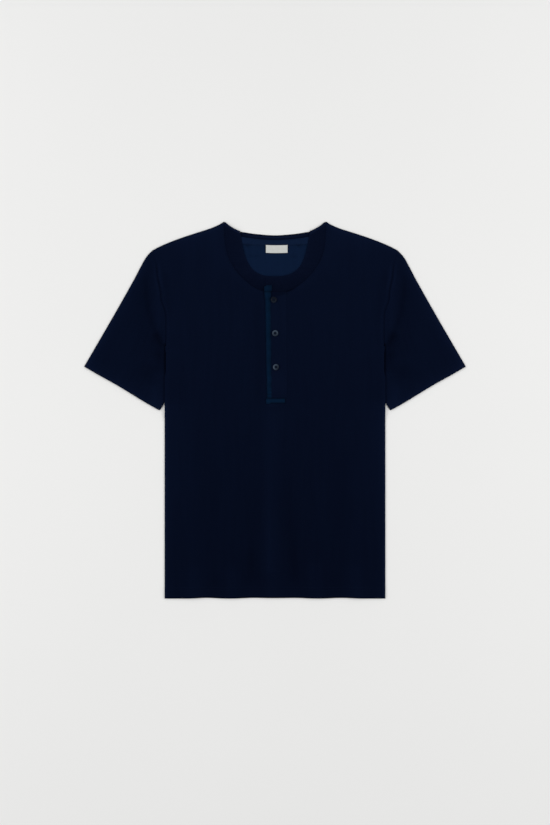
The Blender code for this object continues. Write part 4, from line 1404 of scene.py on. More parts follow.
    def section(self, along: float) -> tuple[Array, Array, Array, Array]:
        """One ring of the tube.

        Args:
            along: From the armhole at 0 to the cuff at 1.

        Returns:
            The ring's outer points, its inner points, how far round it each lies and its tone.
        """
        upper_z = FRONT_Z + CLOTH - JERSEY / 2
        top_z = upper_z - self.top_roll.depth
        turns = np.linspace(0, math.pi, 9)
        under_radius, top_radius = (upper_z - JERSEY / 2) / 2, (top_z - JERSEY / 2) / 2
        under, under_out = self.fold(SLEEVE_UNDER_LINE, along, -1, under_radius, turns[::-1])
        top, top_out = self.fold(SLEEVE_TOP_LINE, along, 1, top_radius, turns)
        places = self.place(along, self.across)
        from_top = apart(places, SLEEVE_TOP_LINE.at(along))
        upper = upper_z - self.top_roll.drop(from_top)
        upper = upper + self.rise(places, along) + self.hem.profile(self.cuff_distance(places))
        from_seam = along * apart(self.place(1, self.across), places)
        from_seam = np.where(along > 0.5, self.seam_roll.reach, from_seam / max(1e-6, 1 - along))
        upper = upper - self.seam_roll.drop(from_seam)
        up = np.tile((0, 0, 1), (len(places), 1))
        below = self.place(along, self.across[::-2])
        down = np.tile((0, 0, -1), (len(below), 1))
        from_cuff = self.cuff_distance(below)
        lower = JERSEY / 2 + 0.27 * smooth((23 - from_cuff) / 2) * smooth((from_cuff - 10) / 2)
        walls = [under, np.column_stack([places, upper]), top, np.column_stack([below, lower])]
        centre = np.vstack(walls)
        outwards = np.vstack([under_out, up, top_out, down])
        half = JERSEY / 2 * (0.3 + 0.7 * rolled((1 - along) * 120, 0.8))
        runs = Line.lengths(np.vstack([centre, centre[:1]]))
        tone = np.pad(self.tone(places, from_top, along), (len(under), len(top) + len(below)), "edge")
        return centre + outwards * half, centre - outwards * half, runs, tone

    def make(self) -> None:
        """Builds, sews and reports the sleeve."""
        alongs = spread(0, 0.006, 0.03, 1 / self.sections, 0.985, 0.0025, 1)
        rings = [self.section(along) for along in alongs]
        outer, inner, runs, tone = (np.array(part) for part in zip(*rings))
        mirror = (self.side, 1, 1)
        flat = np.dstack(np.broadcast_arrays(runs, -alongs[:, None] * self.cut[1]))
        shell = Shell(outer * mirror, inner * mirror, flat, ring=True, tone=tone)
        cloth = shell.build(f"{self.name}_cloth", self.wardrobe.jersey)
        shares = np.linspace(0.03, 0.975, 90)
        lines = [
            (CUFF_LINE.at(shares) + CUFF_LINE.left_of(shares) * row) * mirror[:2] for row in self.hem.rows
        ]
        name = f"stitch_{self.name}"
        above = self.stitching.sew(name, lines, cloth, Slot.JERSEY)
        below = self.stitching.sew(f"{name}_under", lines, cloth, Slot.JERSEY, Face.UNDER)
        lay_sheet(cloth, self.name, self.cut)


@dataclass
class Neckband(Workpiece):
    """The wide rib strip all round the neck, its ends lapped at the placket."""

    lap_x: float = 18.0
    ramp_x: Pair = (22.0, 46.0)
    over_tape_y: Pair = (272.0, 298.0)
    crown: float = 0.15
    fold_seam: Pair = (94.7, 355.1)
    fold_inset: float = 0.03
    fold_bow: float = 2.0
    fold_reach: float = 13.0
    rib_pitch: float = 2.9
    rib_height: float = 0.35
    rib_painted_light: float = 0.12
    foot_tone: float = -0.22
    edge_roll: Roll = Roll(0.12, 0.5)
    section_gap: float = 0.62
    back_lift: float = 0.15
    end_slope: Roll = Roll(6.0, 0.75)
    end_sunk: float = 0.3
    cut: Pair = (510.0, 28.5)
    across: Array = field(default_factory=lambda: spread(0.0, 0.025, 0.1, 0.05, 0.9, 0.02, 1.0))

    def tape_rise(self, edge_y: float) -> Array:
        """How far the band is raised by the neck tape's end under it, across its width."""
        up = smooth((edge_y - self.over_tape_y[0]) / (self.over_tape_y[1] - self.over_tape_y[0]))
        return (TRIM_CLOTH + GAP) * up * smooth(self.across / 0.5)

    def bowed(self, side: int, plan: Array) -> Array:
        """A section's places in plan, drawn in near the shoulder, where the folded band dips in its middle.

        Args:
            side: 1 for the wearer's left, -1 for the right.
            plan: The places, from the seam to the free edge.

        Returns:
            The places after they are drawn in.
        """
        seam_end, _, outwards = self.fold_ends(side)
        distance = np.abs((plan - seam_end) @ outwards)
        inwards = self.fold_bow * 4 * self.across * (1 - self.across)
        return plan - outwards * (inwards * smooth(1 - distance / self.fold_reach))[:, None]

    def fold_ends(self, side: int) -> tuple[Array, Array, Array]:
        """The two ends of the fold at one shoulder, and the direction outwards from it."""
        seam_end = np.array((side * self.fold_seam[0], self.fold_seam[1]))
        edge_end = np.array((side * BAND_EDGE[-1].x, BAND_EDGE[-1].y))
        run = (edge_end - seam_end) / np.linalg.norm(edge_end - seam_end)
        return seam_end, edge_end, np.array((run[1], -run[0])) * side

    def front_sections(self, side: int) -> list[tuple[Array, Array]]:
        """The band's middle points and outward directions, from its end up to the shoulder.

        Args:
            side: 1 for the wearer's left, -1 for the right.

        Returns:
            Its sections, in order.
        """
        end = 1 if side > 0 else 0
        fold = end - side * self.fold_inset
        seam_start = NECK_SEAM_LINE.share_at_x(-side * self.lap_x)
        edge_start = BAND_EDGE_LINE.share_at_x(-side * self.lap_x)
        length = abs(end - seam_start) * NECK_SEAM_LINE.length
        sections = []
        for part in np.linspace(0, 0.985, int(length / self.section_gap)):
            seam_share = seam_start + (end - seam_start) * part
            seam = NECK_SEAM_LINE.at(seam_share) - NECK_SEAM_LINE.left_of(seam_share) * SEAM_LAP
            edge = BAND_EDGE_LINE.at(edge_start + (fold - edge_start) * part)
            plan = self.bowed(side, seam + (edge - seam) * self.across[:, None])
            z = FRONT_Z + CLOTH / 2 + self.tape_rise(edge[1])
            if side > 0:
                lap = CLOTH + self.crown + GAP
                z = z + lap * smooth((self.ramp_x[1] - plan[:, 0]) / (self.ramp_x[1] - self.ramp_x[0]))
            sections.append((np.column_stack([plan, z]), np.tile((0, 0, 1), (len(plan), 1))))
        return sections

    def fold_sections(self, side: int) -> list[tuple[Array, Array]]:
        """The band's sections round its fold at one shoulder, from the front down to the back."""
        seam_end, edge_end, outwards = self.fold_ends(side)
        radius = (FRONT_Z + self.tape_rise(edge_end[1])) / 2
        sections = []
        for turn in np.linspace(0, math.pi, 13):
            reach = radius * math.sin(turn) - radius - CLOTH / 2
            plan = self.bowed(side, seam_end + (edge_end - seam_end) * self.across[:, None])
            plan = plan + outwards * reach[:, None]
            z = CLOTH / 2 + radius + radius * math.cos(turn) + self.back_lift * turn / math.pi
            out = (*(outwards * math.sin(turn)), math.cos(turn))
            sections.append((np.column_stack([plan, z]), np.tile(out, (len(plan), 1))))
        return sections

    def back_sections(self) -> list[tuple[Array, Array]]:
        """The band's sections along the back of the neck, from the right shoulder to the left one."""
        sections = []
        down = np.tile((0, 0, -1), (len(self.across), 1))
        for share in np.linspace(0.055, 0.945, int(BACK_SEAM_LINE.length / self.section_gap)):
            seam = BACK_SEAM_LINE.at(share) - BACK_SEAM_LINE.left_of(share) * SEAM_LAP
            edge = BACK_EDGE_LINE.at(share)
            side = 1 if share > 0.5 else -1
            plan = self.bowed(side, seam + (edge - seam) * self.across[:, None])
            level = np.full(len(plan), CLOTH / 2 + self.back_lift)
            sections.append((np.column_stack([plan, level]), down))
        return sections

    def tone(self, centre: Array, is_back: Array, from_end: Array) -> Array:
        """How much lighter or darker the band is painted at each point, apart from its ribs: its painted
        light and shade.

        Args:
            centre: The points on the middle of its wall.
            is_back: Which of them lie on the back.
            from_end: How far each section is from the band's upper end.

        Returns:
            The share by which each is lighter.
        """
        x, y = centre[..., 0], centre[..., 1]
        to_edge = 1 - self.across
        # Painted shade at the seam and a painted highlight on the free edge, lighter towards the free edge,
        # darker towards its foot, and a painted highlight at its upper end.
        tone = 0.14 * self.across - 0.1 * peak(self.across, 0.06) + 0.1 * peak(to_edge, 0.12)
        tone = tone + self.foot_tone * (1 - smooth((y - 214) / 60))
        tone += 0.16 * peak(from_end, 1.3)
        # Along the back: a line of painted highlight, strongest in the middle, and painted shade on the
        # free edge.
        at_middle = is_back * peak(x, 45)
        tone += (0.1 + 0.7 * at_middle) * peak(self.across, 0.075, 0.74) * is_back
        tone -= 0.35 * at_middle * peak(to_edge, 0.1)
        # The painted highlight on the edge of the fold at each shoulder.
        seam_end, _, beyond = self.fold_ends(1)
        from_fold = (np.abs(centre[..., :2]) - seam_end) @ beyond
        return tone + 0.8 * peak(from_fold, 2.2, -3.6) * smooth((y - 332) / 6)

    def make(self) -> None:
        """Builds and reports the band."""
        right, left = (self.front_sections(side) + self.fold_sections(side) for side in (-1, 1))
        centre, outwards = (np.array(part) for part in zip(*right, *self.back_sections(), *left[::-1]))
        runs = Line.lengths(centre[:, len(self.across) // 2])[:, None]
        from_end = runs[-1] - runs
        ribs = 0.5 + 0.5 * np.cos(math.tau * runs / self.rib_pitch)
        from_edges = np.minimum(self.across, 1 - self.across)
        fade = smooth(from_edges / 0.06)
        rolls = self.edge_roll.drop(from_edges)
        crown = self.crown * np.sin(math.pi * self.across) * np.maximum(0, outwards[..., 2])
        at_end = 1 - smooth(from_end / self.end_slope.reach)
        raised = crown - rolls + self.rib_height * (ribs * fade - 0.6) - self.end_slope.depth * at_end
        centre[..., 2] -= self.end_sunk * at_end
        outer = centre + outwards * (CLOTH / 2 + raised)[..., None]
        inner = centre - outwards * (CLOTH / 2 - 0.2 - 0.5 * rolls)[..., None]
        flat = np.dstack(np.broadcast_arrays(runs, self.across * self.cut[1]))
        # The ribs' crests painted lighter and their hollows darker, and the band's painted light and shade.
        tone = self.rib_painted_light * (ribs - 0.5) * fade + self.tone(centre, outwards[..., 2] < -0.5, from_end)
        band = Shell(outer, inner, flat, tone=tone).build("neckband_cloth", self.wardrobe.rib)
        lay_sheet(band, "neckband", self.cut)


class TapeRow(NamedTuple):
    """Where the placket's tape lies at one height, and how far it has climbed onto the band."""

    y: float
    left: float
    right: float
    climb: float


@dataclass
class Placket(Workpiece):
    """The button stand: its two strips, the tape down its free edge and the bar at its foot."""

    body: Body
    buttons: "Buttons"
    strip_x: Pair = (-8.0, 21.5)
    strip_length: float = 201.5
    foot_y: float = 22.0
    foot_rows: Pair = (30.4, 25.6)
    lean_rate: float = 0.008
    under_cut: Pair = (27.4, 194.0)
    bar_x: Pair = (-17.2, 19.2)
    bar_y: Pair = (11.8, 21.2)
    bar_inset: float = 1.2
    tape_rows: tuple[TapeRow, ...] = (
        TapeRow(21.6, -16.6, -6.9, 0.0),
        TapeRow(34.0, -17.2, -7.0, 0.0),
        TapeRow(56.0, -17.1, -7.5, 0.0),
        TapeRow(110.0, -17.8, -7.6, 0.0),
        TapeRow(190.0, -18.5, -7.6, 0.0),
        TapeRow(204.0, -18.5, -7.6, 0.0),
        TapeRow(208.0, -18.9, -7.4, 0.15),
        TapeRow(212.5, -19.8, -7.1, 0.6),
        TapeRow(216.5, -20.0, -7.0, 0.92),
        TapeRow(219.5, -20.2, -7.0, 1.0),
        TapeRow(222.4, -20.6, -6.8, 1.0),
        TapeRow(223.6, -20.8, -5.7, 1.0),
        TapeRow(235.2, -20.8, -5.7, 1.0),
    )
    # Where the tape is creased across, how far each crease spreads and how much painted shade darkens it.
    tape_folds: tuple[Triple, ...] = (
        (23.5, 1.3, 0.22), (29.0, 1.4, 0.25), (35.5, 1.4, 0.22), (209.0, 1.4, 0.15), (222.6, 2.0, 0.42)
    )
    tape_slant: float = 3.5
    tape_inset: float = 1.3
    tape_cut: Pair = (11.2, 214.5)
    strip_tone: float = 0.09
    lap_rise: float = CLOTH + 0.15 + GAP

    def neck_y(self, x: Array) -> Array:
        """The height of the neck seam at x, near the centre."""
        return np.interp(x, NECK_SEAM_LINE.points[:, 0], NECK_SEAM_LINE.points[:, 1])

    def lean(self, y: Array) -> Array:
        """How far the placket has leant sideways at y, measured from its top."""
        return np.maximum(0, self.lean_rate * (self.neck_y(0) - y))

    def tape_at(self, y: Array, column: str) -> Array:
        """What the tape's rows give at each y, for one of their columns."""
        rows = self.tape_rows
        return np.interp(y, [row.y for row in rows], [getattr(row, column) for row in rows])

    @staticmethod
    def strip_shell(
        places: Array,
        base: float | Array,
        thick: float | Array,
        edge: float,
        puff: float,
        edge_painted_shade: float = 0,
    ) -> Shell:
        """A flat strip of cloth with rounded edges.

        Args:
            places: The strip's grid in plan, by row and column.
            base: The height of its underside at each place.
            thick: How thick it is.
            edge: How far its edges are rounded.
            puff: How far its middle swells.
            edge_painted_shade: How much darker its edges are, as a negative share.

        Returns:
            The strip's shell, with painted shade round its edges.
        """
        from_sides = np.minimum(apart(places, places[:, :1]), apart(places, places[:, -1:]))
        from_ends = np.minimum(apart(places, places[:1]), apart(places, places[-1:]))
        rim = np.minimum(rolled(from_sides, edge), rolled(from_ends, edge))
        swell = puff * smooth(from_sides / 6) * smooth(from_ends / 8)
        outer = base + thick * (0.45 + 0.55 * rim) + swell
        inner = base + thick * 0.25 * (1 - rim) + 0.02
        # Painted shade round the edges.
        tone = edge_painted_shade * peak(np.minimum(from_sides, from_ends), 1.5)
        return Shell.over(places, outer, inner, tone=tone)

    def make_strip(self) -> Piece:
        """The upper strip, which lies over the slit and carries the buttons."""
        left, right = self.strip_x
        columns = spread(left, 0.3, left + 1.2, 1.3, right - 3.2, 0.3, right)
        top = self.neck_y(columns) + SEAM_LAP
        y = self.foot_y + (top - self.foot_y) * edged(0, 1, 0.01, 0.0025, 0.008)[:, None]
        x = columns + self.lean(y)
        sunk = smooth((columns - 13) / 8.5) + 0 * y
        thick = PLACKET_CLOTH - 0.1 - 0.55 * sunk
        shell = self.strip_shell(np.dstack([x, y]), PLACKET_Z - 0.45 * sunk, thick, 2.4, 0.12)
        # The stitched rows at the foot: sunk, and painted darker as shade.
        for row in self.foot_rows:
            shell.outer[..., 2] -= 0.22 * peak(y, 0.8, row)
            shell.tone -= 0.08 * peak(y, 1.6, row)
        # Lighter all over and in a band near the foot, darker in a band higher up, with the front's painted
        # shading by height and the painted shadow below the band.
        shell.tone += self.strip_tone + 0.07 * peak(y, 24, 52) - 0.06 * peak(y, 26, 114)
        shell.tone += self.body.tone_at(y) + band_shade(x, y)
        return shell.build("over_placket_cloth", self.wardrobe.jersey)

    def make_under_strip(self) -> Piece:
        """The lower strip, which fills the slit under the upper one."""
        columns = edged(SLIT_X[0] + GAP, SLIT_X[1] - GAP, 0.8, 0.2, 2.4)
        shares = spread(0, 0.0025, 0.005, 0.015, 1)[:, None]
        y = SLIT_Y + GAP + (self.neck_y(columns) - SLIT_Y - GAP) * shares
        places = np.dstack(np.broadcast_arrays(columns, y))
        shell = self.strip_shell(places, FRONT_Z, JERSEY, 0.8, 0)
        return shell.build("under_placket_cloth", self.wardrobe.jersey)

    def make_tape(self) -> Piece:
        """The tape down the free edge, climbing onto the end of the neckband."""
        foot, top = self.tape_rows[0].y, self.tape_rows[-1].y
        y = spread(foot, 0.2, foot + 0.8, 0.7, 40, 1.8, 204, 0.5, top - 0.9, 0.2, top)[:, None]
        shares = edged(0, 1, 0.09, 0.022, 0.09)
        left, right = (self.tape_at(y, edge) + self.lean(y) for edge in ("left", "right"))
        uneven = np.sin(y / 5.3) * np.sin(y / 13.7 + 0.8) + 0.5 * np.sin(y / 3.1 + 2) * np.sin(y / 31)
        x = left + (right - left) * shares + 0.3 * uneven
        slant = self.tape_slant * np.clip(1 - shares / 0.4, 0, 1) * smooth((y - 225) / 10)
        climb = FRONT_Z + self.lap_rise + CLOTH + 0.15 + GAP - PLACKET_Z
        level = PLACKET_Z + climb * self.tape_at(y, "climb")
        shell = self.strip_shell(np.dstack([x, y - slant]), level, TRIM_CLOTH, 0.7, 0.12, -0.2)
        # Painted light and shade: lighter on its left and near its foot, painted shade along its right
        # side, painted light and shade following its waviness, and darker at its top.
        above_foot = smooth((y - 30) / 16)
        shell.tone += 0.08 - (0.3 * above_foot - 0.1) * smooth((shares - 0.25) / 0.6)
        shell.tone += 0.08 * uneven - 0.1 * smooth((y - 221) / 6)
        for fold, reach, darker in self.tape_folds:
            crease = peak(y, reach, fold)
            shell.outer[..., 2] -= 1.2 * darker * crease
            shell.tone -= darker * crease
        return shell.build("placket_tape_cloth", self.wardrobe.tape)

    def make_bar(self) -> Piece:
        """The tape across the foot, its left end lower where the two tapes lie doubled."""
        low, high = self.bar_y
        x = edged(*self.bar_x, 0.8, 0.2, 1.4)
        y = edged(low, high, 0.8, 0.2, 0.8)[:, None]
        at_left = smooth((-6 - x) / 5)
        lowered = 1.3 * at_left * ((high - y) / (high - low))
        places = np.dstack(np.broadcast_arrays(x, y - lowered))
        shell = self.strip_shell(places, PLACKET_Z, CLOTH, 1.4, 0.1, -0.3)
        # Painted highlight along its middle and on a spot at its left end, and painted shade along its
        # lower edge on the right.
        shell.tone += 0.14 * peak(y, 2.2, (low + high) / 2) + 0.14 * peak(x, 3, -12.7)
        shell.tone -= 0.14 * (1 - at_left) * smooth((low + 4.4 - y) / 3)
        return shell.build("placket_bar_cloth", self.wardrobe.tape)

    def sew_rows(self, strip: Piece, tape: Piece, bar: Piece) -> list[Piece]:
        """Sews the strip, the tape and the bar down.

        Args:
            strip: The upper strip.
            tape: The tape down its free edge.
            bar: The tape across its foot.

        Returns:
            The stitches of each.
        """
        right = self.strip_x[1]
        y = np.linspace(self.foot_y + 1, self.neck_y(10) - 1, 120)
        strip_lines = [np.column_stack([right - 2.2 + self.lean(y), y])]
        for row in self.foot_rows:
            lean = self.lean(row)
            strip_lines.append(np.linspace((lean - 6.5, row), (lean + right - 2.6, row), 20))
        y = np.linspace(22.5, 230, 160)
        tape_lines = [
            np.column_stack([self.tape_at(y, edge) + self.lean(y) + inward, y])
            for edge, inward in (("left", self.tape_inset), ("right", -self.tape_inset))
        ]
        (left, right), (low, high) = self.bar_x, self.bar_y
        bar_lines = [
            np.linspace((left + 1, row), (right - 1, row), 20)
            for row in (low + self.bar_inset, high - self.bar_inset)
        ]
        return [
            self.stitching.sew("stitch_over_placket", strip_lines, strip, Slot.JERSEY),
            self.stitching.sew("stitch_placket_tape", tape_lines, tape, Slot.TAPE),
            self.stitching.sew("stitch_placket_bar", bar_lines, bar, Slot.TAPE),
        ]

    def make(self) -> None:
        """Builds, sews and reports the placket."""
        strip, under = self.make_strip(), self.make_under_strip()
        tape, bar = self.make_tape(), self.make_bar()
        strip_rows, tape_rows, bar_rows = self.sew_rows(strip, tape, bar)
        holes = self.buttons.make_buttonholes(strip)
        cut = (self.strip_x[1] - self.strip_x[0], self.strip_length)
        lay_sheet(strip, "over_placket", cut)
        lay_sheet(under, "under_placket", self.under_cut)
        lay_sheet(tape, "placket_tape", self.tape_cut)
        length, width = self.bar_x[1] - self.bar_x[0], self.bar_y[1] - self.bar_y[0]
        cut = (length, self.tape_cut[0])
        lay_sheet(bar, "placket_bar", cut)


@dataclass
class BackNeckTrim(Workpiece):
    """The tape over the back neck seam, and the bare label sewn on it."""

    half_length: float = 70.0
    half_width: float = 6.2
    middle_y: float = 315.1
    sag: float = 2.6 / 60.0**2
    top_bow: float = 2.8 / 60.0**2
    top_dip: float = 0.9
    row_inset: float = 1.3
    label_x: Pair = (-17.2, 23.7)
    label_y: Pair = (295.6, 310.1)
    label_sag: float = 0.5

    def make_tape(self) -> Piece:
        """The neck tape, its ends under the neckband."""
        x = np.linspace(-self.half_length, self.half_length, 96)
        across = edged(-1, 1, 0.2, 0.05, 0.16)[:, None] * self.half_width
        bowed = (self.top_bow * x * x - self.top_dip) * smooth(across / self.half_width)
        places = np.dstack(np.broadcast_arrays(x, self.middle_y + self.sag * x * x + across + bowed))
        rim = rolled(self.half_width - np.abs(across), 0.9) + 0 * x
        foot = smooth((self.half_width + across) / 4)
        ripple = 0.12 * np.sin(x / 7.3) * np.sin(x / 19 + 1)
        outer = FRONT_Z + TRIM_CLOTH * (0.5 + 0.5 * rim) * (0.3 + 0.7 * foot) + ripple * rim * foot
        groove = peak(np.abs(across) - self.half_width, 0.5, -self.row_inset)
        outer = outer - 0.2 * groove * smooth((np.abs(x - 2) - 24) / 12)
        # Painted shadow below the tape's lower edge, towards both its ends.
        at_sides = peak(x, 9, -52) + peak(x, 10, 44)
        tone = -0.26 * at_sides * peak(self.half_width + across, 1.6, 0.8)
        shell = Shell.over(places, outer, np.full_like(outer, FRONT_Z + 0.02), tone=tone)
        return shell.build("neck_tape_cloth", self.wardrobe.lining)

    def make_label(self) -> Piece:
        """The label: its top on the neck tape and its foot on the back, bare of any lettering."""
        (left, right), (low, high) = self.label_x, self.label_y
        x = edged(left, right, 0.6, 0.2, 1)
        shares = edged(0, 1, 0.04, 0.02, 0.06)[:, None]
        from_middle = (x - (left + right) / 2) / ((right - left) / 2)
        y = low + self.label_sag * from_middle**2 + (high - low) * shares
        base = FRONT_Z + (TRIM_CLOTH + GAP) * smooth((y - low - 3) / 9)
        base += 0.18 * (1 - from_middle**2) * np.sin(math.pi * shares)
        rim = rolled(np.minimum(x - left, right - x), 0.5)
        places = np.dstack(np.broadcast_arrays(x, y))
        shell = Shell.over(places, base + 0.35 + 0.35 * rim, base + 0.05)
        return shell.build("label_cloth", self.wardrobe.label)

    def make(self) -> None:
        """Builds, sews and reports the trim."""
        tape, label = self.make_tape(), self.make_label()
        x = np.linspace(-62, 62, 120)
        inset = self.half_width - self.row_inset
        rows = [np.column_stack([x, self.middle_y + self.sag * x * x + side * inset]) for side in (-1, 1)]
        tape_rows = self.stitching.sew("stitch_neck_tape", rows, tape, Slot.INSIDE)
        (left, right), (low, high) = self.label_x, self.label_y
        ends = [np.linspace((x, low + 1.5), (x, high - 1), 12) for x in (left + 1.1, right - 1.1)]
        label_rows = Stitching(self.wardrobe.white_thread).sew("stitch_label", ends, label, Slot.LABEL)
        cut = (2 * self.half_length, 2 * self.half_width)
        lay_sheet(tape, "neck_tape", cut)
        cut = (right - left, high - low)
        lay_sheet(label, "label", cut)


@dataclass
class Buttons(Workpiece):
    """Three four-holed buttons, sewn down the placket, and the worked holes under them."""

    places: tuple[Station, ...] = (
        Station("button_1", -2.4, 207.3),
        Station("button_2", 0.25, 144.0),
        Station("button_3", 1.9, 80.1),
    )
    tilts: tuple[Pair, ...] = ((7.0, 2.0), (-2.0, 3.0), (3.0, -3.0))
    # The painted light and shade on each one: how dark it is painted in its middle, and how that changes
    # towards its left and its top. The first lies in painted shadow, the others are painted lighter on one
    # side.
    shades: tuple[Triple, ...] = (
        (1.05, 0.0, 0.15), (0.52, 0.06, -0.28), (0.56, 0.42, -0.2)
    )
    radius: float = 5.65
    depth: float = 2.3
    rim: float = 1.3
    dish: float = 0.8
    hole_radius: float = 0.7
    hole_reach: float = 1.35
    base: float = PLACKET_Z + PLACKET_CLOTH + GAP
    hole_length: float = 13.0
    hole_width: float = 2.4

    def select_faces(self, button: Piece, wanted: Callable[[Vector, Vector], bool]) -> None:
        """Selects the faces whose centre and normal are wanted, and nothing else.

        Args:
            button: The button, in object mode.
            wanted: Whether a face is wanted, by its centre and its normal.
        """
        bpy.ops.object.mode_set(mode="EDIT")
        bpy.ops.mesh.select_all(action="DESELECT")
        bpy.ops.object.mode_set(mode="OBJECT")
        for face in button.data.polygons:
            face.select = wanted(face.center, face.normal)
        bpy.ops.object.mode_set(mode="EDIT")
        bpy.ops.mesh.select_mode(type="FACE")

    def turn_button(self) -> Piece:
        """One button at the origin: a raised round rim, a dished middle and four holes."""
        deselect()
        bpy.ops.mesh.primitive_cylinder_add(vertices=48, radius=self.radius, depth=self.depth)
        button = bpy.context.object
        half = self.depth / 2
        self.select_faces(button, lambda centre, normal: normal.z > 0.9)
        bpy.ops.mesh.inset(thickness=self.rim, depth=0)
        for thickness, depth in ((0.4, 0.8), (0.5, 0.2), (0.6, 0), (0.5, 0)):
            bpy.ops.mesh.inset(thickness=thickness, depth=-self.dish * depth)
        bpy.ops.object.mode_set(mode="OBJECT")
        self.select_faces(button, lambda centre, normal: normal.z < -0.9)
        bpy.ops.mesh.inset(thickness=0.9, depth=0)
        bpy.ops.mesh.inset(thickness=0.8, depth=0.35)
        bpy.ops.object.mode_set(mode="OBJECT")
        bevel = button.modifiers.new("rounded", "BEVEL")
        bevel.width = 0.5
        bevel.segments = 4
        bevel.limit_method = "ANGLE"
        bevel.angle_limit = math.radians(24)
        bpy.ops.object.modifier_apply(modifier=bevel.name)
        for number in range(4):
            angle = math.tau * (number + 0.5) / 4
            spot = (self.hole_reach * math.cos(angle), self.hole_reach * math.sin(angle), half)
            deselect()
            bpy.ops.mesh.primitive_cylinder_add(
                vertices=16, radius=self.hole_radius, depth=self.depth * 3, location=spot
            )
            drill = bpy.context.object
            cut = button.modifiers.new("hole", "BOOLEAN")
            cut.object = drill
            cut.operation = "DIFFERENCE"
            deselect()
            button.select_set(True)
            bpy.context.view_layer.objects.active = button
            bpy.ops.object.modifier_apply(modifier=cut.name)
            bpy.data.objects.remove(drill, do_unlink=True)
        bpy.ops.object.shade_smooth_by_angle(angle=math.radians(35))
        return button

    def thread_strands(self) -> tuple[Array, list[tuple[int, ...]]]:
        """The sewing thread over the middle, a cross of plump strands: its points and its faces."""
        bead, faces = self.stitching.one_stitch()
        bead = bead / (self.stitching.length, self.stitching.width, self.stitching.height)
        lift = self.depth / 2 - self.dish + 0.2
        strands = []
        for angle in (math.pi / 4, 3 * math.pi / 4):
            cosine, sine = math.cos(angle), math.sin(angle)
            turn = np.array(((cosine, sine, 0), (-sine, cosine, 0), (0, 0, 1)))
            for shift in (-0.42, 0, 0.42):
                strands.append((bead * (2 * self.hole_reach + 0.9, 0.5, 0.6) + (0, shift, lift)) @ turn)
        return copies(strands, faces)

    def make_buttonholes(self, strip: Piece) -> Piece:
        """The worked buttonholes in the strip: close bars of thread round each slit."""
        bars = Stitching(self.wardrobe.thread, length=1.1, pitch=1.1, width=0.42, height=0.5)
        half, reach = self.hole_length / 2, bars.length / 2
        lines = []
        for place in self.places:
            for step in np.arange(-half, half + 0.1, 0.5):
                for middle in (place.x - self.hole_width / 4, place.x + self.hole_width / 4):
                    y = place.y + step
                    lines.append(np.array(((middle - reach, y), (middle + reach, y))))
        return bars.sew("stitch_buttonholes", lines, strip, Slot.JERSEY)

    def make(self) -> None:
        """Builds and reports the buttons and their thread."""
        master = self.turn_button()
        strands, faces = self.thread_strands()
        east, north = np.array([vertex.co[:2] for vertex in master.data.vertices]).T
        # Painted shade in the dished middle, and each button's own painted light and shade.
        hollow = smooth((3.6 - np.hypot(east, north)) / 1.2)
        for place, tilt, (dark, to_left, to_top) in zip(self.places, self.tilts, self.shades):
            centre = Vector((place.x, place.y, self.base + self.depth / 2 + 0.25))
            nod, lean = (Matrix.Rotation(math.radians(turn), 4, axis) for turn, axis in zip(tilt, "XY"))
            move = Matrix.Scale(MM, 4) @ Matrix.Translation(centre) @ (nod @ lean)
            button = link_new(f"{place.place}_turned", master.data.copy())
            attribute = button.data.attributes.new("hollow", "FLOAT", "POINT")
            shade = np.clip(dark + to_left * east / self.radius + to_top * north / self.radius, 0, 1)
            attribute.data.foreach_set("value", np.maximum(hollow, shade).astype(np.float32))
            thread = link_new(f"{place.place}_thread", bpy.data.meshes.new(f"{place.place}_thread"))
            thread.data.from_pydata(strands.tolist(), [], faces)
            thread.data.shade_smooth()
            for piece, material in ((button, self.wardrobe.button), (thread, self.wardrobe.thread)):
                piece.data.transform(move)
                piece.data.materials.append(material)
                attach(piece, BODY)
            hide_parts(place.place)
            LOG.info("%s: turned and sewn on", place.place)
        bpy.data.objects.remove(master, do_unlink=True)


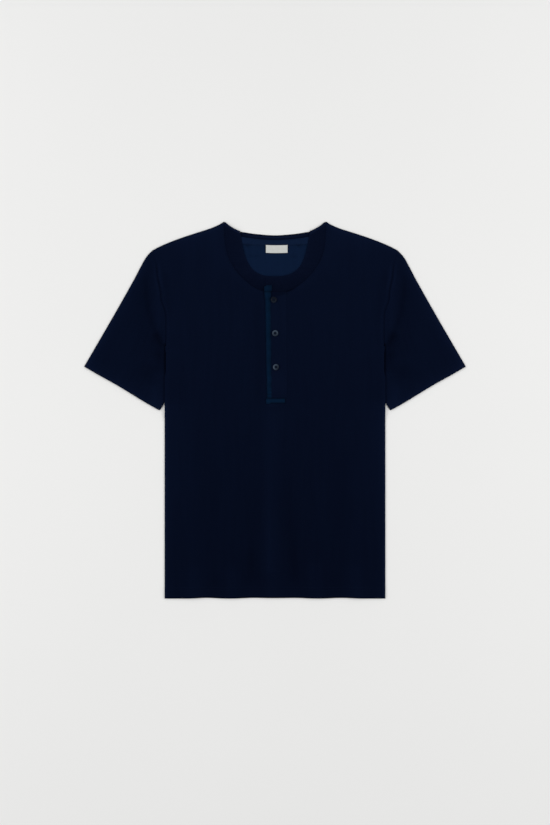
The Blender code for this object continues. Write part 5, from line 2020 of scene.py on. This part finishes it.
@dataclass
class Studio:
    """The pale floor, the soft lights and the camera straight above."""

    wardrobe: Wardrobe
    picture: tuple[int, int] = (550, 825)
    mm_per_pixel: float = 1.888
    centre_y: float = -5.5
    camera_height: float = 3200.0
    sensor: float = 36.0
    key_power: float = 2.3
    side_power: float = 25.5
    sky: float = 0.62

    def make_floor(self) -> None:
        """The floor that the shirt lies on."""
        deselect()
        bpy.ops.mesh.primitive_plane_add(size=90)
        floor = bpy.context.object
        floor.name = "floor"
        floor.data.materials.append(self.wardrobe.paper)

    def make_light(self, name: str, place: Triple, size: float, power: float) -> None:
        """A square softbox that faces the shirt.

        Args:
            name: The light's name.
            place: Where it hangs, in metres.
            size: Its side, in metres.
            power: Its power, in watts.
        """
        data = bpy.data.lights.new(name, "AREA")
        data.size = size
        data.energy = power
        light = link_new(name, data)
        light.location = place
        light.rotation_euler = (-Vector(place)).to_track_quat("-Z", "Y").to_euler()

    def make_camera(self) -> None:
        """A long lens straight above the middle of the picture."""
        data = bpy.data.cameras.new("camera")
        height = self.camera_height - FRONT_Z - CLOTH
        data.sensor_width = self.sensor
        data.lens = self.sensor * height / (self.picture[1] * self.mm_per_pixel)
        data.clip_end = 100
        camera = link_new("camera", data)
        camera.location = (0, self.centre_y * MM, self.camera_height * MM)
        bpy.context.scene.camera = camera

    def make(self) -> None:
        """Builds the floor, the lights, the sky and the camera."""
        self.make_floor()
        self.make_light("softbox_top", (0, 2.2, 2), 1.8, self.key_power)
        for name, x in (("softbox_left", -2.3), ("softbox_right", 2.3)):
            self.make_light(name, (x, 0.2, 1.7), 1.6, self.side_power)
        world = bpy.data.worlds.new("sky")
        world.use_nodes = True
        sky = world.node_tree.nodes["Background"]
        sky.inputs["Strength"].default_value = self.sky
        sky.inputs["Color"].default_value = linear("FFFFFF")
        bpy.context.scene.world = world
        bpy.context.scene.view_settings.view_transform = "Standard"
        self.make_camera()


def main() -> None:
    """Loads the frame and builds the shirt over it."""
    logging.basicConfig(level=logging.INFO, format="%(message)s")
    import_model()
    wardrobe = Wardrobe()
    stitching = Stitching(wardrobe.thread)
    body = Body(wardrobe, stitching)
    buttons = Buttons(wardrobe, stitching)
    parts = (
        body,
        Sleeve(wardrobe, stitching, 1, "sleeve_left"),
        Sleeve(wardrobe, stitching, -1, "sleeve_right"),
        Neckband(wardrobe, stitching),
        Placket(wardrobe, stitching, body, buttons),
        BackNeckTrim(wardrobe, stitching),
        buttons,
        Studio(wardrobe),
    )
    for part in parts:
        part.make()
        LOG.info("%s: done", type(part).__name__)


if __name__ == "__main__":
    main()
